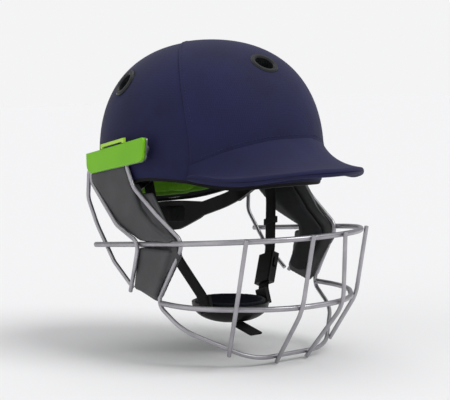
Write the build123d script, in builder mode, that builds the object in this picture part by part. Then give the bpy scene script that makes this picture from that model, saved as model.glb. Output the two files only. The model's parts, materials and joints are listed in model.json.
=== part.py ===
from build123d import *
import os
from collections import namedtuple
from math import atan2, cos, degrees, hypot, radians, sin, sqrt

# Cricket helmet, millimetres. The wearer looks along -Y, +Z is up, and the origin is the
# centre of the head opening at the height of the front rim.

# Head shell
shell_half_length = 121
shell_half_width = 100
equator_height = 26
crown_rise = 109.5
crown_fullness_share = 0.629
skirt_drop = 52
skirt_tuck = 4.5
rim_fall = 26
cloth = 1.2
front_panel_step = 1
shell_wall = 3
liner_wall = 9
pad_wall = 7
glue_gap = 0.1
running_gap = 0.3
overrun = 30
binding_height = 3
liner_lift = 2

# Front panel, a tongue whose tip reaches the crown
tongue_half_width = 81
tongue_root = 71
tongue_tip = 26
tongue_root_pull = 25
tongue_tip_pull = 12

# Peak
peak_reach = 117.4
peak_half_width = 83.7
peak_root_back = 70.3
peak_tip_height = 17.6
peak_droop = 16.5
peak_corner_lift = 11.6
peak_thickness = 7
peak_seam_half_width = 80.8
peak_seam_height = 42.5
peak_seam_fall = 20.9
peak_root_gap = 0.4
peak_layer_gap = 0.5
peak_corner_stand = 3
peak_seam_degrees = 4
peak_flare_share = 0.34
peak_flare_drop_share = 0.9
peak_edge_roundness_share = 1.87
peak_droop_power_share = 3.39
peak_corner_power_share = 10
peak_section_shares = (-1, -0.95, -0.86, -0.7, -0.48, -0.24, 0, 0.24, 0.48, 0.7, 0.86, 0.95, 1)

# Vents
vent_bore = 18
vent_wall = 1
vent_flange = 28
vent_flange_thickness = 3.6
vent_flange_sink = 2
vent_flange_bevel = 1.3
vent_depth = 13
front_vent_ahead = 83
rear_vent_behind = 30
rear_vent_height = 96

# Comfort pads
brow_pad_half_width = 58
brow_pad_bottom = 12
brow_pad_top = 62
nape_pad_half_width = 47
nape_pad_lift = 7
nape_pad_top = 40
crown_pad_width = 68
crown_pad_length = 84
side_pad_front = 48
side_pad_rear = 80
side_pad_bottom = 30
side_pad_top = 72
pad_corner = 10

# Faceguard wires
guard_reach = 165
guard_drop = 157
bar_diameter = 5
wire_diameter = 4
bar_stand = 1
weld_gap = 0.3
bend_tuck = 0.7
upright_overhang = 3.5
outer_upright_spread = 71
inner_upright_spread = 19
inner_upright_mid_spread = 24
top_bar_front_spread = 41
top_bar_bend = 92
mid_bar_side_spread = 97.5
mid_bar_front_spread = 40
mid_bar_bend = 80
corner_spread = 98.2
chin_bar_side_spread = 93
chin_bar_front_spread = 45
rear_wire_foot_spread = 100.2
chin_bend = 45
wire_bend = 10
corner_bend = 11
side_wire_bend = 22
upright_bend = 45

# Side plates
pivot_ahead = 28
pivot_height = 35
plate_length = 93
plate_nose = 10.5
plate_rise = 12
plate_front_height = 22.5
plate_rear_height = 20
plate_fall = 18
plate_front_corner = 8
plate_rear_corner = 3
plate_wall = 1.6
plate_edge_show = 1.6
cover_wall = 2.8
cover_edge = 1
stud_shank = 6
stud_collar = 10
stud_collar_stand = 1.2
stud_head = 12
stud_head_thickness = 1.4
nut_thickness = 2.4
nut_stand = 1.7
guide_behind = 56
guide_below = 15
guard_lift_degrees = 6
tab_front = 31
tab_length = 37
tab_height = 3
tab_gap = 1.6
tab_foot = 3

# Cheek pads
cheek_inner = 87.5
cheek_foam_wall = 5.5
cheek_core_wall = 6
cheek_panel_wall = 5
cheek_edge = 3.5
cheek_foam_edge = 2.4
cheek_panel_edge = 2
cheek_groove_gap = 0.4
cheek_rim_gap = 1.6

# Chin strap
strap_anchor_behind = 8
strap_anchor_height = 24
strap_spread = 74.4
strap_lean = 41
strap_fall = 136
strap_top = 9
webbing_width = 15
webbing_thickness = 1.6
strap_bend = 60
strap_waist_spread = 58
strap_waist_drop = 100
strap_knee_drop = 45
strap_ear_spread = 38.5
strap_ear_drop = 138
strap_ear_length = 16
strap_ear_bend = 14
anchor_shank = 5
stud_recess = 0.6
anchor_head = 11
anchor_head_thickness = 1.4
cup_half_width = 36
cup_half_length = 40
cup_centre_ahead = 27
cup_rim_drop = 117
cup_depth = 20
cup_wall = 3
cup_liner_wall = 3
cup_ear_wall = 3.6
cup_fullness_share = 0.62
tail_length = 30
tail_start_ahead = 36
tail_droop_degrees = 14
buckle_drop = 115
buckle_socket_length = 21
buckle_body_length = 10
buckle_width = 23
buckle_thickness = 9
buckle_wall = 1.8
buckle_insert_length = 14
buckle_insert_width = 11
release_tab_length = 9
release_tab_height = 4
release_tab_travel = 2
keeper_length = 6
keeper_wall = 1.2
keeper_drop = 72

# Headband and nape cradle
temple_ahead = 10
temple_height = 11
arm_spread = 79.5
arm_width = 13
arm_thickness = 2
arm_end = 52
arm_fall = 34
rail_overlap = 34
cradle_reach = 95
cradle_thickness = 2.4
cradle_bend = 34
cradle_corner_behind = 56
cradle_rear_spread = 30
cradle_top = 25
cradle_height = 33
cradle_cheek_height = 22
cradle_cheek_behind = 77
cradle_travel = 10
cradle_pad_width = 72
cradle_pad_height = 20
cradle_pad_wall = 5
rivet_shank = 4
rivet_head = 7
rivet_head_thickness = 1
rivet_behind = 32
dial_diameter = 26
dial_drop = 43
dial_thickness = 5
dial_grips = 20
dial_grip_width = 1.6
housing_width = 40
housing_height = 24
housing_thickness = 3
pinion_diameter = 8

os.makedirs("parts", exist_ok=True)


def keep(part, name):
    """Label one finished piece and write it."""
    part.label = name
    export_step(part, f"parts/{name}.step")
    print(name, round(part.volume), "mm3,", len(part.solids()), "solid(s)")


def mirrored(part):
    """The same piece on the other side of the head."""
    return mirror(part, about=Plane.YZ)


def keep_pair(part, name):
    """Write a piece of the wearer's left side and its mirrored twin on the right."""
    keep(part, f"left_{name}")
    keep(mirrored(part), f"right_{name}")


def only_largest(part):
    """Drop the crumbs that a cut left beside the main solid."""
    return Part() + part.solids().sort_by(SortBy.VOLUME)[-1]


# Dome


def dome(inset):
    """A closed dome whose skin lies inset inside the cloth's outer face."""
    radius = shell_half_width - inset
    top = equator_height + crown_rise - inset
    shoulder = equator_height + crown_fullness_share * (top - equator_height)
    foot = equator_height - skirt_drop - skirt_drop
    with BuildPart() as solid:
        with BuildSketch(Plane.YZ):
            with BuildLine():
                Bezier(
                    (0, top), (crown_fullness_share * radius, top),
                    (radius, shoulder), (radius, equator_height),
                )
                Polyline(
                    (radius, equator_height), (radius - skirt_tuck - skirt_tuck, foot),
                    (0, foot), (0, top),
                )
            make_face()
        revolve(axis=Axis.Z)
        scale(by=(1, (shell_half_length - inset) / radius, 1))
    return solid.part


def dome_radius(height):
    """Half width of the cloth's outer face at a height, midway along the head."""
    if height <= equator_height:
        return shell_half_width - skirt_tuck * (equator_height - height) / skirt_drop
    low, high = 0, 1
    for _ in range(40):
        t = (low + high) / 2
        rise = t ** 3 + 3 * t * t * (1 - t) + 3 * t * (1 - t) ** 2 * crown_fullness_share
        if rise * crown_rise < height - equator_height:
            low = t
        else:
            high = t
    across = (1 - t) ** 3 + 3 * t * (1 - t) ** 2 + 3 * t * t * (1 - t) * crown_fullness_share
    return across * shell_half_width


def dome_half_width(along, height):
    """Half width of the cloth's outer face at a place along the head and a height."""
    radius = dome_radius(height)
    return radius * sqrt(1 - (along / (radius * shell_half_length / shell_half_width)) ** 2)


# The rim seen from the side: shares of the shell's half length and of the rim's fall
rim_line_shares = (
    (-1.4, 0.1), (-0.98, 0.08), (-0.82, 0), (-0.59, 0.22), (-0.37, 0.32), (-0.17, 0.31),
    (0.04, 0.15), (0.29, -0.19), (0.6, -0.65), (0.79, -0.92), (0.98, -1), (1.4, -1.05),
)


def under_rim(lift):
    """All space below the rim line after it is raised by lift."""
    line = [(y * shell_half_length, z * rim_fall + lift) for y, z in rim_line_shares]
    floor = -skirt_drop - skirt_drop
    with BuildPart() as solid:
        with BuildSketch(Plane.YZ):
            with BuildLine():
                Spline(*line)
                Polyline(line[-1], (line[-1][0], floor), (line[0][0], floor), line[0])
            make_face()
        extrude(amount=shell_half_width + overrun, both=True)
    return solid.part


def layer(outer, inner, lift):
    """A dome skin between two insets, cut along the raised rim line."""
    return dome(outer) - dome(inner) - under_rim(lift)


shell_outer = cloth + glue_gap
shell_inner = shell_outer + shell_wall
liner_outer = shell_inner + glue_gap
liner_inner = liner_outer + liner_wall
pad_outer = liner_inner + glue_gap
pad_inner = pad_outer + pad_wall


# Round plugs for holes, studs and heads


def plug(plane, diameter, start, end):
    """A round plug along a plane's normal from start to end."""
    with BuildPart() as solid:
        with BuildSketch(plane.offset(start)):
            Circle(diameter / 2)
        extrude(amount=end - start)
    return solid.part


def side_plug(place, diameter, start, end):
    """A round plug along X between two distances from the head's middle plane."""
    along, height = place
    plane = Plane(origin=(0, along, height), x_dir=(0, 1, 0), z_dir=(1, 0, 0))
    return plug(plane, diameter, start, end)


def both_sides(part):
    """A piece together with its mirror image."""
    return part + mirrored(part)


# Vents

head_stretch_share = shell_half_length / shell_half_width


def height_on_ridge(ahead):
    """Height of the dome's middle line at a distance ahead of the head's centre."""
    low, high = equator_height, equator_height + crown_rise
    for _ in range(40):
        middle = (low + high) / 2
        if dome_radius(middle) * head_stretch_share > ahead:
            low = middle
        else:
            high = middle
    return middle


def vent_plane(across, along, height):
    """The plane on the cloth's outer face at a vent, looking straight out."""
    radius = dome_radius(height)
    slope = (dome_radius(height + cloth) - dome_radius(height - cloth)) / (cloth + cloth)
    out = Vector(across / radius, along / (head_stretch_share ** 2 * radius), -slope)
    return Plane(origin=(across, along, height), z_dir=out)


rear_vent_across = dome_half_width(rear_vent_behind, rear_vent_height)
front_vent_plane = vent_plane(0, -front_vent_ahead, height_on_ridge(front_vent_ahead))
left_vent_plane = vent_plane(rear_vent_across, rear_vent_behind, rear_vent_height)
right_vent_plane = vent_plane(-rear_vent_across, rear_vent_behind, rear_vent_height)
vent_planes = (front_vent_plane, left_vent_plane, right_vent_plane)
vent_tube = vent_bore + vent_wall + vent_wall


def vent_plugs(diameter, start):
    """Round cutters at all three vents, from start out past the dome."""
    cutters = Part()
    for plane in vent_planes:
        cutters = cutters + plug(plane, diameter, start, overrun)
    return cutters


vent_seats = vent_plugs(vent_flange + running_gap, -vent_flange_sink - glue_gap)
vent_holes = vent_plugs(vent_tube + running_gap, -overrun)


def vent(plane):
    """One vent: a bevelled flange with a tube that lines the hole."""
    with BuildPart() as ring:
        with BuildSketch(plane.offset(-vent_flange_sink)):
            Circle(vent_flange / 2)
        extrude(amount=vent_flange_thickness)
        rims = ring.edges().filter_by(GeomType.CIRCLE).sort_by(plane_distance(plane))
        chamfer(rims[-1], length=vent_flange_bevel)
        with BuildSketch(plane.offset(-vent_depth)):
            Circle(vent_tube / 2)
        extrude(amount=vent_depth)
        with BuildSketch(plane.offset(-vent_depth)):
            Circle(vent_bore / 2)
        extrude(amount=vent_depth + vent_flange_thickness, mode=Mode.SUBTRACT)
        mouth = ring.edges().filter_by(GeomType.CIRCLE).sort_by(plane_distance(plane))
        mouth = mouth.filter_by(lambda edge: edge.radius < vent_tube / 2)
        chamfer(mouth[-1], length=vent_flange_bevel)
    return ring.part


def plane_distance(plane):
    """A sorting key: how far a shape's centre lies out along a plane's normal."""
    return lambda shape: (shape.center() - plane.origin).dot(plane.z_dir)


# Places of the studs, seen from the side
pivot = (-pivot_ahead, pivot_height)
guide = (-pivot_ahead + guide_behind, pivot_height - guide_below)
temple = (-temple_ahead, temple_height)
anchor = (strap_anchor_behind, strap_anchor_height)

stud_holes = both_sides(
    side_plug(pivot, stud_shank + glue_gap, overrun, shell_half_width + overrun)
    + side_plug(guide, stud_shank + glue_gap, overrun, shell_half_width + overrun)
    + side_plug(temple, rivet_shank + glue_gap, overrun, shell_half_width + overrun)
    + side_plug(anchor, anchor_shank + glue_gap, overrun, shell_half_width + overrun)
)


# Peak, with its stitched seam seen from the front
seam_place_shares = (-1.2, -1, -0.85, -0.6, -0.3, 0, 0.3, 0.6, 0.85, 1, 1.2)
seam_power_share = 2.6


def peak_seam_z(across_share):
    """Height of the peak's seam at a share of its half width."""
    return peak_seam_height - peak_seam_fall * abs(across_share) ** seam_power_share


def above_peak_seam(lift):
    """All space above the peak's seam after it is raised by lift."""
    line = [(t * peak_seam_half_width, peak_seam_z(t) + lift) for t in seam_place_shares]
    ceiling = equator_height + crown_rise + overrun
    with BuildPart() as solid:
        with BuildSketch(Plane.XZ.offset(-tongue_tip - overrun)):
            with BuildLine():
                Spline(*line)
                Polyline(line[-1], (line[-1][0], ceiling), (line[0][0], ceiling), line[0])
            make_face()
        extrude(amount=tongue_tip + shell_half_length + overrun + overrun)
    return solid.part


PeakFrame = namedtuple("PeakFrame", "section root root_level nose nose_level thinning")


def peak_frame(turn_share):
    """An upright plane that fans out from the brow, with the peak's run and heights there."""
    side = 1 if turn_share >= 0 else -1
    swing = radians(90) * abs(turn_share)
    across = sin(swing) ** (2 / peak_edge_roundness_share)
    ahead = max(cos(swing), 0) ** (2 / peak_edge_roundness_share)
    droop = peak_droop * sin(swing) ** peak_droop_power_share
    lift = peak_corner_lift * sin(swing) ** peak_corner_power_share
    edge_x = side * peak_half_width * across
    edge_y = -peak_root_back - peak_reach * ahead
    root_z = peak_seam_z(across)
    root_x = side * peak_seam_half_width * across
    root_y = -head_stretch_share * sqrt(dome_radius(root_z) ** 2 - root_x ** 2)
    run = Vector(edge_x - root_x, edge_y - root_y, 0)
    facing = Vector(root_x, root_y / head_stretch_share ** 2, 0).normalized()
    short = front_panel_step + peak_root_gap + peak_corner_stand - run.dot(facing)
    run = run + facing * max(short, 0)
    section = Plane(origin=(root_x, root_y, 0), x_dir=run, z_dir=run.cross(Vector(0, 0, 1)))
    root_middle = root_z - peak_thickness / 2
    root = brow_reach(section, root_middle)
    thinning = min(1, (run.length - root) / peak_thickness)
    nose = run.length - peak_half_thickness * thinning
    middle = peak_tip_height - droop + lift - peak_thickness / 2
    return PeakFrame(section, root, root_middle, nose, middle, thinning)


def brow_reach(section, level):
    """How far along a section's run the brow lies at a level, with the root gap."""
    start = section.origin
    run = section.x_dir
    squeeze = 1 / head_stretch_share ** 2
    radius = dome_radius(level) + front_panel_step + peak_root_gap
    slope = run.X ** 2 + run.Y ** 2 * squeeze
    half = run.X * start.X + run.Y * start.Y * squeeze
    rest = start.X ** 2 + start.Y ** 2 * squeeze - radius ** 2
    return (sqrt(half ** 2 - slope * rest) - half) / slope


peak_half_thickness = peak_thickness / 2


def peak_line(frame, rise):
    """A section's line from the brow to the nose, at a rise over the peak's middle."""
    bend = frame.root + peak_flare_share * (frame.nose - frame.root)
    fall = peak_flare_drop_share * (frame.root_level - frame.nose_level)
    start_level = frame.root_level + rise
    return [
        (brow_reach(frame.section, start_level), start_level),
        (bend, start_level - fall),
        (frame.nose, frame.nose_level + rise),
    ]


def nose_arc(frame, radius, degrees_from, degrees_to):
    """Three places on the peak's round nose, between two angles over its middle."""
    turns = [radians(a) for a in (degrees_from, (degrees_from + degrees_to) / 2, degrees_to)]
    return [
        (frame.nose + radius * cos(turn), frame.nose_level + radius * sin(turn)) for turn in turns
    ]


def peak_board_section(turn_share):
    """One section of the moulded board inside the peak."""
    frame = peak_frame(turn_share)
    radius = (peak_half_thickness - cloth - peak_layer_gap) * frame.thinning
    top = peak_line(frame, radius)
    bottom = peak_line(frame, -radius)
    with BuildSketch(frame.section) as face:
        with BuildLine():
            Bezier(*top)
            ThreePointArc(*nose_arc(frame, radius, 90, -90))
            Bezier(*bottom[::-1])
            Line(bottom[0], top[0])
        make_face()
    return face.sketch.faces()[0]


def peak_cloth_section(turn_share, side):
    """One section of the cloth over (1) or under (-1) the board, with half of the nose."""
    frame = peak_frame(turn_share)
    outer = peak_half_thickness * frame.thinning
    inner = outer - cloth * frame.thinning
    outer_line = peak_line(frame, side * outer)
    inner_line = peak_line(frame, side * inner)
    outer_nose = nose_arc(frame, outer, side * 90, side * peak_seam_degrees)
    inner_nose = nose_arc(frame, inner, side * peak_seam_degrees, side * 90)
    with BuildSketch(frame.section) as face:
        with BuildLine():
            Bezier(*outer_line)
            ThreePointArc(*outer_nose)
            Line(outer_nose[-1], inner_nose[0])
            ThreePointArc(*inner_nose)
            Bezier(*inner_line[::-1])
            Line(inner_line[0], outer_line[0])
        make_face()
    return face.sketch.faces()[0]


def peak_loft(sections):
    """One layer of the peak, lofted through its fan of sections."""
    with BuildPart() as solid:
        loft(sections)
    return solid.part


def tongue(grow):
    """The front panel's plan as an upright prism, grown sideways and to the rear."""
    half = tongue_half_width + grow
    tip = tongue_tip + grow
    front = -guard_reach - overrun
    with BuildPart() as solid:
        with BuildSketch(Plane.XY.offset(-skirt_drop)):
            with BuildLine():
                for side in (1, -1):
                    Bezier(
                        (side * half, -tongue_root), (side * half, -tongue_root + tongue_root_pull),
                        (side * tongue_tip_pull, tip), (0, tip),
                    )
                Polyline((half, -tongue_root), (half, front), (-half, front), (-half, -tongue_root))
            make_face()
        extrude(amount=skirt_drop + crown_rise + equator_height + overrun)
    return solid.part


# Shell
shell = layer(shell_outer, shell_inner, 0) - vent_seats - vent_holes - stud_holes
keep(only_largest(shell), "shell")

# Cloth panels; the front ones stand a step proud of the rear one
stud_necks = both_sides(
    side_plug(pivot, stud_shank + glue_gap, overrun, shell_half_width + overrun)
    + side_plug(guide, stud_shank + glue_gap, overrun, shell_half_width + overrun)
)
rear_panel = layer(0, cloth, 0) - tongue(glue_gap) - vent_seats - stud_necks
keep(only_largest(rear_panel), "rear_panel")
front_skin = layer(-front_panel_step, cloth, 0) & tongue(0)
front_panel = (front_skin & above_peak_seam(0)) - vent_seats
keep(only_largest(front_panel), "front_panel")
brow_panel = front_skin - above_peak_seam(-glue_gap)
keep(only_largest(brow_panel), "brow_panel")

# Peak, seated on the brow
keep(peak_loft([peak_board_section(t) for t in peak_section_shares]), "peak_core")
keep(peak_loft([peak_cloth_section(t, 1) for t in peak_section_shares]), "peak_cover")
keep(peak_loft([peak_cloth_section(t, -1) for t in peak_section_shares]), "peak_lining")

# Edge binding round the rim
binding = (dome(0) - dome(shell_inner)) & under_rim(-glue_gap)
keep(only_largest(binding - under_rim(-binding_height)), "rim_binding")

# Vents
keep(vent(front_vent_plane), "front_vent")
keep(vent(left_vent_plane), "left_rear_vent")
keep(vent(right_vent_plane), "right_rear_vent")


# Impact liner and comfort pads
nut_place = shell_inner + nut_stand
nut_pockets = Part()
for place, head in ((pivot, stud_head), (guide, stud_head)):
    skin = dome_half_width(*place)
    pocket = side_plug(place, head + running_gap, skin - nut_place - nut_thickness - glue_gap, skin)
    nut_pockets = nut_pockets + both_sides(pocket)
foam_liner = layer(liner_outer, liner_inner, liner_lift) - vent_holes - stud_holes - nut_pockets
keep(only_largest(foam_liner), "foam_liner")


def upright_block(plane, corner_a, corner_b, start, end, round_corner=pad_corner):
    """A block with rounded corners, drawn on a plane between two corners."""
    middle = ((corner_a[0] + corner_b[0]) / 2, (corner_a[1] + corner_b[1]) / 2)
    width = abs(corner_b[0] - corner_a[0])
    height = abs(corner_b[1] - corner_a[1])
    with BuildPart() as block:
        with BuildSketch(plane.offset(start)):
            with Locations(middle):
                RectangleRounded(width, height, round_corner)
        extrude(amount=end - start)
    return block.part


pad_skin = layer(pad_outer, pad_inner, liner_lift) - vent_holes - stud_holes
brow_block = upright_block(
    Plane.XZ, (-brow_pad_half_width, brow_pad_bottom), (brow_pad_half_width, brow_pad_top),
    0, shell_half_length,
)
keep(only_largest(pad_skin & brow_block), "brow_pad")
nape_block = upright_block(
    Plane.XZ, (-nape_pad_half_width, -rim_fall + nape_pad_lift),
    (nape_pad_half_width, nape_pad_top), -shell_half_length, 0,
)
keep(only_largest(pad_skin & nape_block), "nape_pad")
crown_block = upright_block(
    Plane.XY, (-crown_pad_width / 2, -crown_pad_length / 2),
    (crown_pad_width / 2, crown_pad_length / 2), equator_height, equator_height + crown_rise,
)
keep(only_largest(pad_skin & crown_block), "crown_pad")
side_block = upright_block(
    Plane.YZ, (-side_pad_front, side_pad_bottom), (side_pad_rear, side_pad_top),
    0, shell_half_width,
)
keep_pair(only_largest(pad_skin & side_block), "side_pad")


# Faceguard wires
bar_plane = shell_half_width + bar_stand
wire_plane = shell_half_width + running_gap + wire_diameter / 2
crossing = (bar_diameter + wire_diameter) / 2 + weld_gap
inside_bar = bar_plane - crossing
outside_bar = bar_plane + crossing


def guard_points(table, spreads):
    """Places on the guard: the table's shares of its reach and drop, with their spreads."""
    return [
        (x, -along * guard_reach, -down * guard_drop)
        for x, (along, down) in zip(spreads, table)
    ]


def loop_round(points):
    """A left-hand path continued on the right as its mirror image."""
    return points + [(-x, y, z) for x, y, z in reversed(points)]


def rod(points, bends, diameter):
    """A round wire along straight runs joined by bends."""
    with BuildPart() as wire:
        with BuildLine() as path:
            FilletPolyline(*points, radius=bends)
        with BuildSketch(Plane(origin=path.line @ 0, z_dir=path.line % 0)):
            Circle(diameter / 2)
        sweep()
    return wire.part


def rod_path(points, bends):
    """The middle line of a wire."""
    with BuildLine() as path:
        FilletPolyline(*points, radius=bends)
    return path.line


# Shares of the guard's reach and drop, from the rear end forwards
top_bar_shares = ((-0.321, 0.376), (0.655, 0.296), (0.994, 0.28))
mid_bar_shares = ((0.279, 0.676), (0.558, 0.682), (0.936, 0.683))
frame_wire_shares = (
    (0.012, -0.21), (0.017, -0.12), (0.079, 0.006), (0.255, 0.153), (0.47, 0.309),
    (0.239, 0.682), (0.424, 0.822), (0.685, 1),
)
rear_wire_shares = (
    (-0.327, -0.076), (-0.345, -0.019), (-0.064, 0.236), (0.142, 0.328), (0.096, 0.49),
    (0.006, 0.631),
)
loop_wire_shares = (
    (-0.242, -0.14), (-0.358, -0.089), (-0.376, 0.089), (-0.345, 0.255), (-0.182, 0.471),
    (-0.004, 0.612),
)

top_bar_points = loop_round(
    guard_points(top_bar_shares, (bar_plane, bar_plane, top_bar_front_spread))
)
mid_bar_points = loop_round(
    guard_points(mid_bar_shares, (corner_spread, mid_bar_side_spread, mid_bar_front_spread))
)
frame_spreads = (
    wire_plane, wire_plane, wire_plane, (wire_plane + inside_bar) / 2, inside_bar - bend_tuck,
    corner_spread, chin_bar_side_spread, chin_bar_front_spread,
)
frame_points = loop_round(guard_points(frame_wire_shares, frame_spreads))
frame_half_bends = [side_wire_bend, side_wire_bend, side_wire_bend, wire_bend, corner_bend]
frame_half_bends = frame_half_bends + [chin_bend, chin_bend]
frame_bends = frame_half_bends + frame_half_bends[::-1]
rear_wire_spreads = (
    wire_plane, wire_plane, outside_bar, outside_bar, outside_bar, rear_wire_foot_spread,
)
rear_wire_points = guard_points(rear_wire_shares, rear_wire_spreads)
rear_wire_bends = [wire_bend, side_wire_bend, wire_bend, side_wire_bend]
loop_wire_spreads = (
    wire_plane, wire_plane, wire_plane, inside_bar, inside_bar, inside_bar,
)
loop_wire_points = guard_points(loop_wire_shares, loop_wire_spreads)
loop_wire_bends = [wire_bend, side_wire_bend, side_wire_bend, side_wire_bend]

keep(rod(top_bar_points, top_bar_bend, bar_diameter), "top_bar")
keep(rod(mid_bar_points, mid_bar_bend, bar_diameter), "mid_bar")
keep(rod(frame_points, frame_bends, wire_diameter), "frame_wire")
keep_pair(rod(rear_wire_points, rear_wire_bends, wire_diameter), "rear_wire")
keep_pair(rod(loop_wire_points, loop_wire_bends, wire_diameter), "loop_wire")

top_bar_line = rod_path(top_bar_points, top_bar_bend)
mid_bar_line = rod_path(mid_bar_points, mid_bar_bend)
frame_line = rod_path(frame_points, frame_bends)


search_start_shares = (0.3, 0.2, 0.4)
middle_share = 0.5
search_steps = 40


def spot_at(line, spread, start_share):
    """Place and direction where a guard line crosses a distance left of the middle plane."""
    low, high = start_share, middle_share
    for _ in range(search_steps):
        middle = (low + high) / 2
        if (line @ middle).X > spread:
            low = middle
        else:
            high = middle
    return line @ middle, line % middle


def upright(top_spread, mid_spread, foot_spread):
    """A wire welded to the outside of the three guard bars."""
    spreads = (top_spread, mid_spread, foot_spread)
    lines = (top_bar_line, mid_bar_line, frame_line)
    spots = [spot_at(*row) for row in zip(lines, spreads, search_start_shares)]
    diameters = (bar_diameter, bar_diameter, wire_diameter)
    top, mid, foot = [place for place, _ in spots]
    upper = (mid - top).normalized()
    lower = (foot - mid).normalized()
    rises = (upper, (upper + lower).normalized(), lower)
    turn = radians(upper.get_angle(lower)) / 2
    bulge = upright_bend * (1 / cos(turn) - 1)
    points = []
    for (place, way), rise, width in zip(spots, rises, diameters):
        out = way.cross(rise).normalized()
        out = out if out.Y < 0 else -out
        reach = (width + wire_diameter) / 2 + weld_gap
        reach = reach + (bulge if place is mid else 0)
        points.append(place + out * reach)
    first = points[0] - (points[1] - points[0]).normalized() * upright_overhang
    last = points[2] + (points[2] - points[1]).normalized() * upright_overhang
    return rod([first, points[1], last], upright_bend, wire_diameter)


keep_pair(upright(outer_upright_spread, outer_upright_spread, outer_upright_spread), "outer_upright")
keep_pair(upright(inner_upright_spread, inner_upright_mid_spread, inner_upright_spread), "inner_upright")


# Side plates
plate_inner = shell_half_width + running_gap + wire_diameter + glue_gap
plate_outer = plate_inner + plate_wall
cover_inner = plate_outer + glue_gap
cover_outer = cover_inner + cover_wall
plate_front = -pivot_ahead - plate_nose
plate_rear = plate_front + plate_length
plate_top = pivot_height + plate_rise


def plate_blank(start, wall, show):
    """The side plate's outline with round corners, its nose moved ahead by show."""
    with BuildPart() as blank:
        with BuildSketch(Plane.YZ.offset(start)) as outline:
            with BuildLine():
                Polyline(
                    (plate_front - show, plate_top), (plate_rear, plate_top - plate_fall),
                    (plate_rear, plate_top - plate_fall - plate_rear_height),
                    (plate_front - show + cover_wall, plate_top - plate_front_height),
                    close=True,
                )
            make_face()
            nose = outline.vertices().group_by(Axis.Y)[0] + outline.vertices().group_by(Axis.Y)[1]
            fillet(nose, radius=plate_front_corner)
            fillet(outline.vertices().group_by(Axis.Y)[-1], radius=plate_rear_corner)
        extrude(amount=wall)
    return blank.part


guide_radius = hypot(guide_behind, guide_below)
guide_turn = degrees(atan2(-guide_below, guide_behind))


def guide_slot(start, wall):
    """A curved slot that lets the plate swing round its pivot past the guide stud."""
    arc = CenterArc(pivot, guide_radius, guide_turn, guard_lift_degrees)
    with BuildPart() as slot:
        with BuildSketch(Plane.YZ.offset(start)):
            SlotArc(arc, stud_shank + running_gap + running_gap)
        extrude(amount=wall)
    return slot.part


side_plate = plate_blank(plate_inner, plate_wall, plate_edge_show)
side_plate = side_plate - guide_slot(plate_inner - glue_gap, plate_wall + glue_gap + glue_gap)
pivot_hole = stud_shank + running_gap + running_gap
side_plate = side_plate - side_plug(pivot, pivot_hole, plate_inner - glue_gap, cover_inner)
keep_pair(side_plate, "side_plate")

head_room = stud_head_thickness + running_gap
plate_cover = plate_blank(cover_inner, cover_wall, 0)
plate_cover = fillet(plate_cover.faces().sort_by(Axis.X)[-1].edges(), cover_edge)
head_pocket = stud_head + running_gap + running_gap
plate_cover = plate_cover - side_plug(pivot, head_pocket, plate_outer, cover_inner + head_room)
plate_cover = plate_cover - guide_slot(plate_outer, glue_gap + head_room)
keep_pair(plate_cover, "plate_cover")

# Coloured tab over the plate's top edge, on two feet
plate_slope_share = plate_fall / plate_length
with BuildPart() as tab:
    with BuildSketch(Plane.YZ.offset(cover_inner)):
        with BuildLine():
            Polyline(
                (0, 0), (tab_length, -tab_length * plate_slope_share),
                (tab_length, tab_height - tab_length * plate_slope_share), (0, tab_height),
                close=True,
            )
        make_face()
    extrude(amount=cover_wall)
tab_y = plate_front + tab_front
tab_z = plate_top - tab_front * plate_slope_share + tab_gap
tab_strip = Pos(0, tab_y, tab_z) * tab.part
with BuildPart() as tab_feet:
    for foot_y in (tab_y + tab_foot / 2, tab_y + tab_length - tab_foot / 2):
        foot_z = plate_top - (foot_y - plate_front) * plate_slope_share
        with BuildSketch(Plane.YZ.offset(cover_inner)):
            with Locations((foot_y, foot_z + tab_gap)):
                Rectangle(tab_foot, tab_gap + tab_gap - glue_gap - glue_gap)
        extrude(amount=cover_wall)
plate_room = plate_blank(cover_inner - glue_gap, cover_wall + glue_gap + glue_gap, 0)
keep_pair(only_largest((tab_strip + tab_feet.part) - plate_room), "plate_tab")


# Studs that carry the guard, and their nuts inside the shell
def guard_stud(place, head):
    """A stud through the shell: neck, spacer collar, shank through the plate, and a head."""
    skin = dome_half_width(*place)
    tip = cover_inner + stud_head_thickness
    stud = side_plug(place, stud_shank, skin - nut_place - nut_thickness, tip)
    stud = stud + side_plug(place, stud_collar, skin + stud_collar_stand, plate_inner - running_gap)
    if head:
        stud = stud + side_plug(place, stud_head, cover_inner, tip)
    return stud


def guard_nut(place):
    """The round nut of one stud, in its pocket in the liner."""
    skin = dome_half_width(*place)
    nut = side_plug(place, stud_head, skin - nut_place - nut_thickness, skin - nut_place)
    return nut - side_plug(place, stud_shank + glue_gap, 0, skin)


keep(both_sides(guard_stud(pivot, True) + guard_stud(guide, False)), "guard_studs")
keep(both_sides(guard_nut(pivot) + guard_nut(guide)), "stud_nuts")


# Cheek pads: a cushion, a core and two raised panels, grooved for the wires
cheek_outline_shares = (
    (-0.23, 0.083), (-0.058, 0.209), (0.142, 0.318), (0.152, 0.363), (0.046, 0.586),
    (0.06, 0.624), (0.227, 0.675), (0.267, 0.643), (0.449, 0.382), (0.442, 0.306),
    (0.315, 0.197), (0.194, 0.032),
)
foam_outline_shares = (
    (-0.15, 0.089), (-0.046, 0.187), (0.158, 0.318), (0.176, 0.363), (0.085, 0.57),
    (0.1, 0.605), (0.19, 0.63), (0.22, 0.6), (0.382, 0.375), (0.38, 0.318),
    (0.255, 0.204), (0.12, 0.045),
)
upper_panel_shares = (
    (-0.358, -0.064), (-0.153, -0.106), (0.012, -0.134), (0.062, -0.02), (0.139, 0.124),
    (0.236, 0.207), (0.366, 0.27), (0.424, 0.293), (0.412, 0.318), (0.127, 0.318),
    (-0.062, 0.242), (-0.258, 0.083),
)
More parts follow.
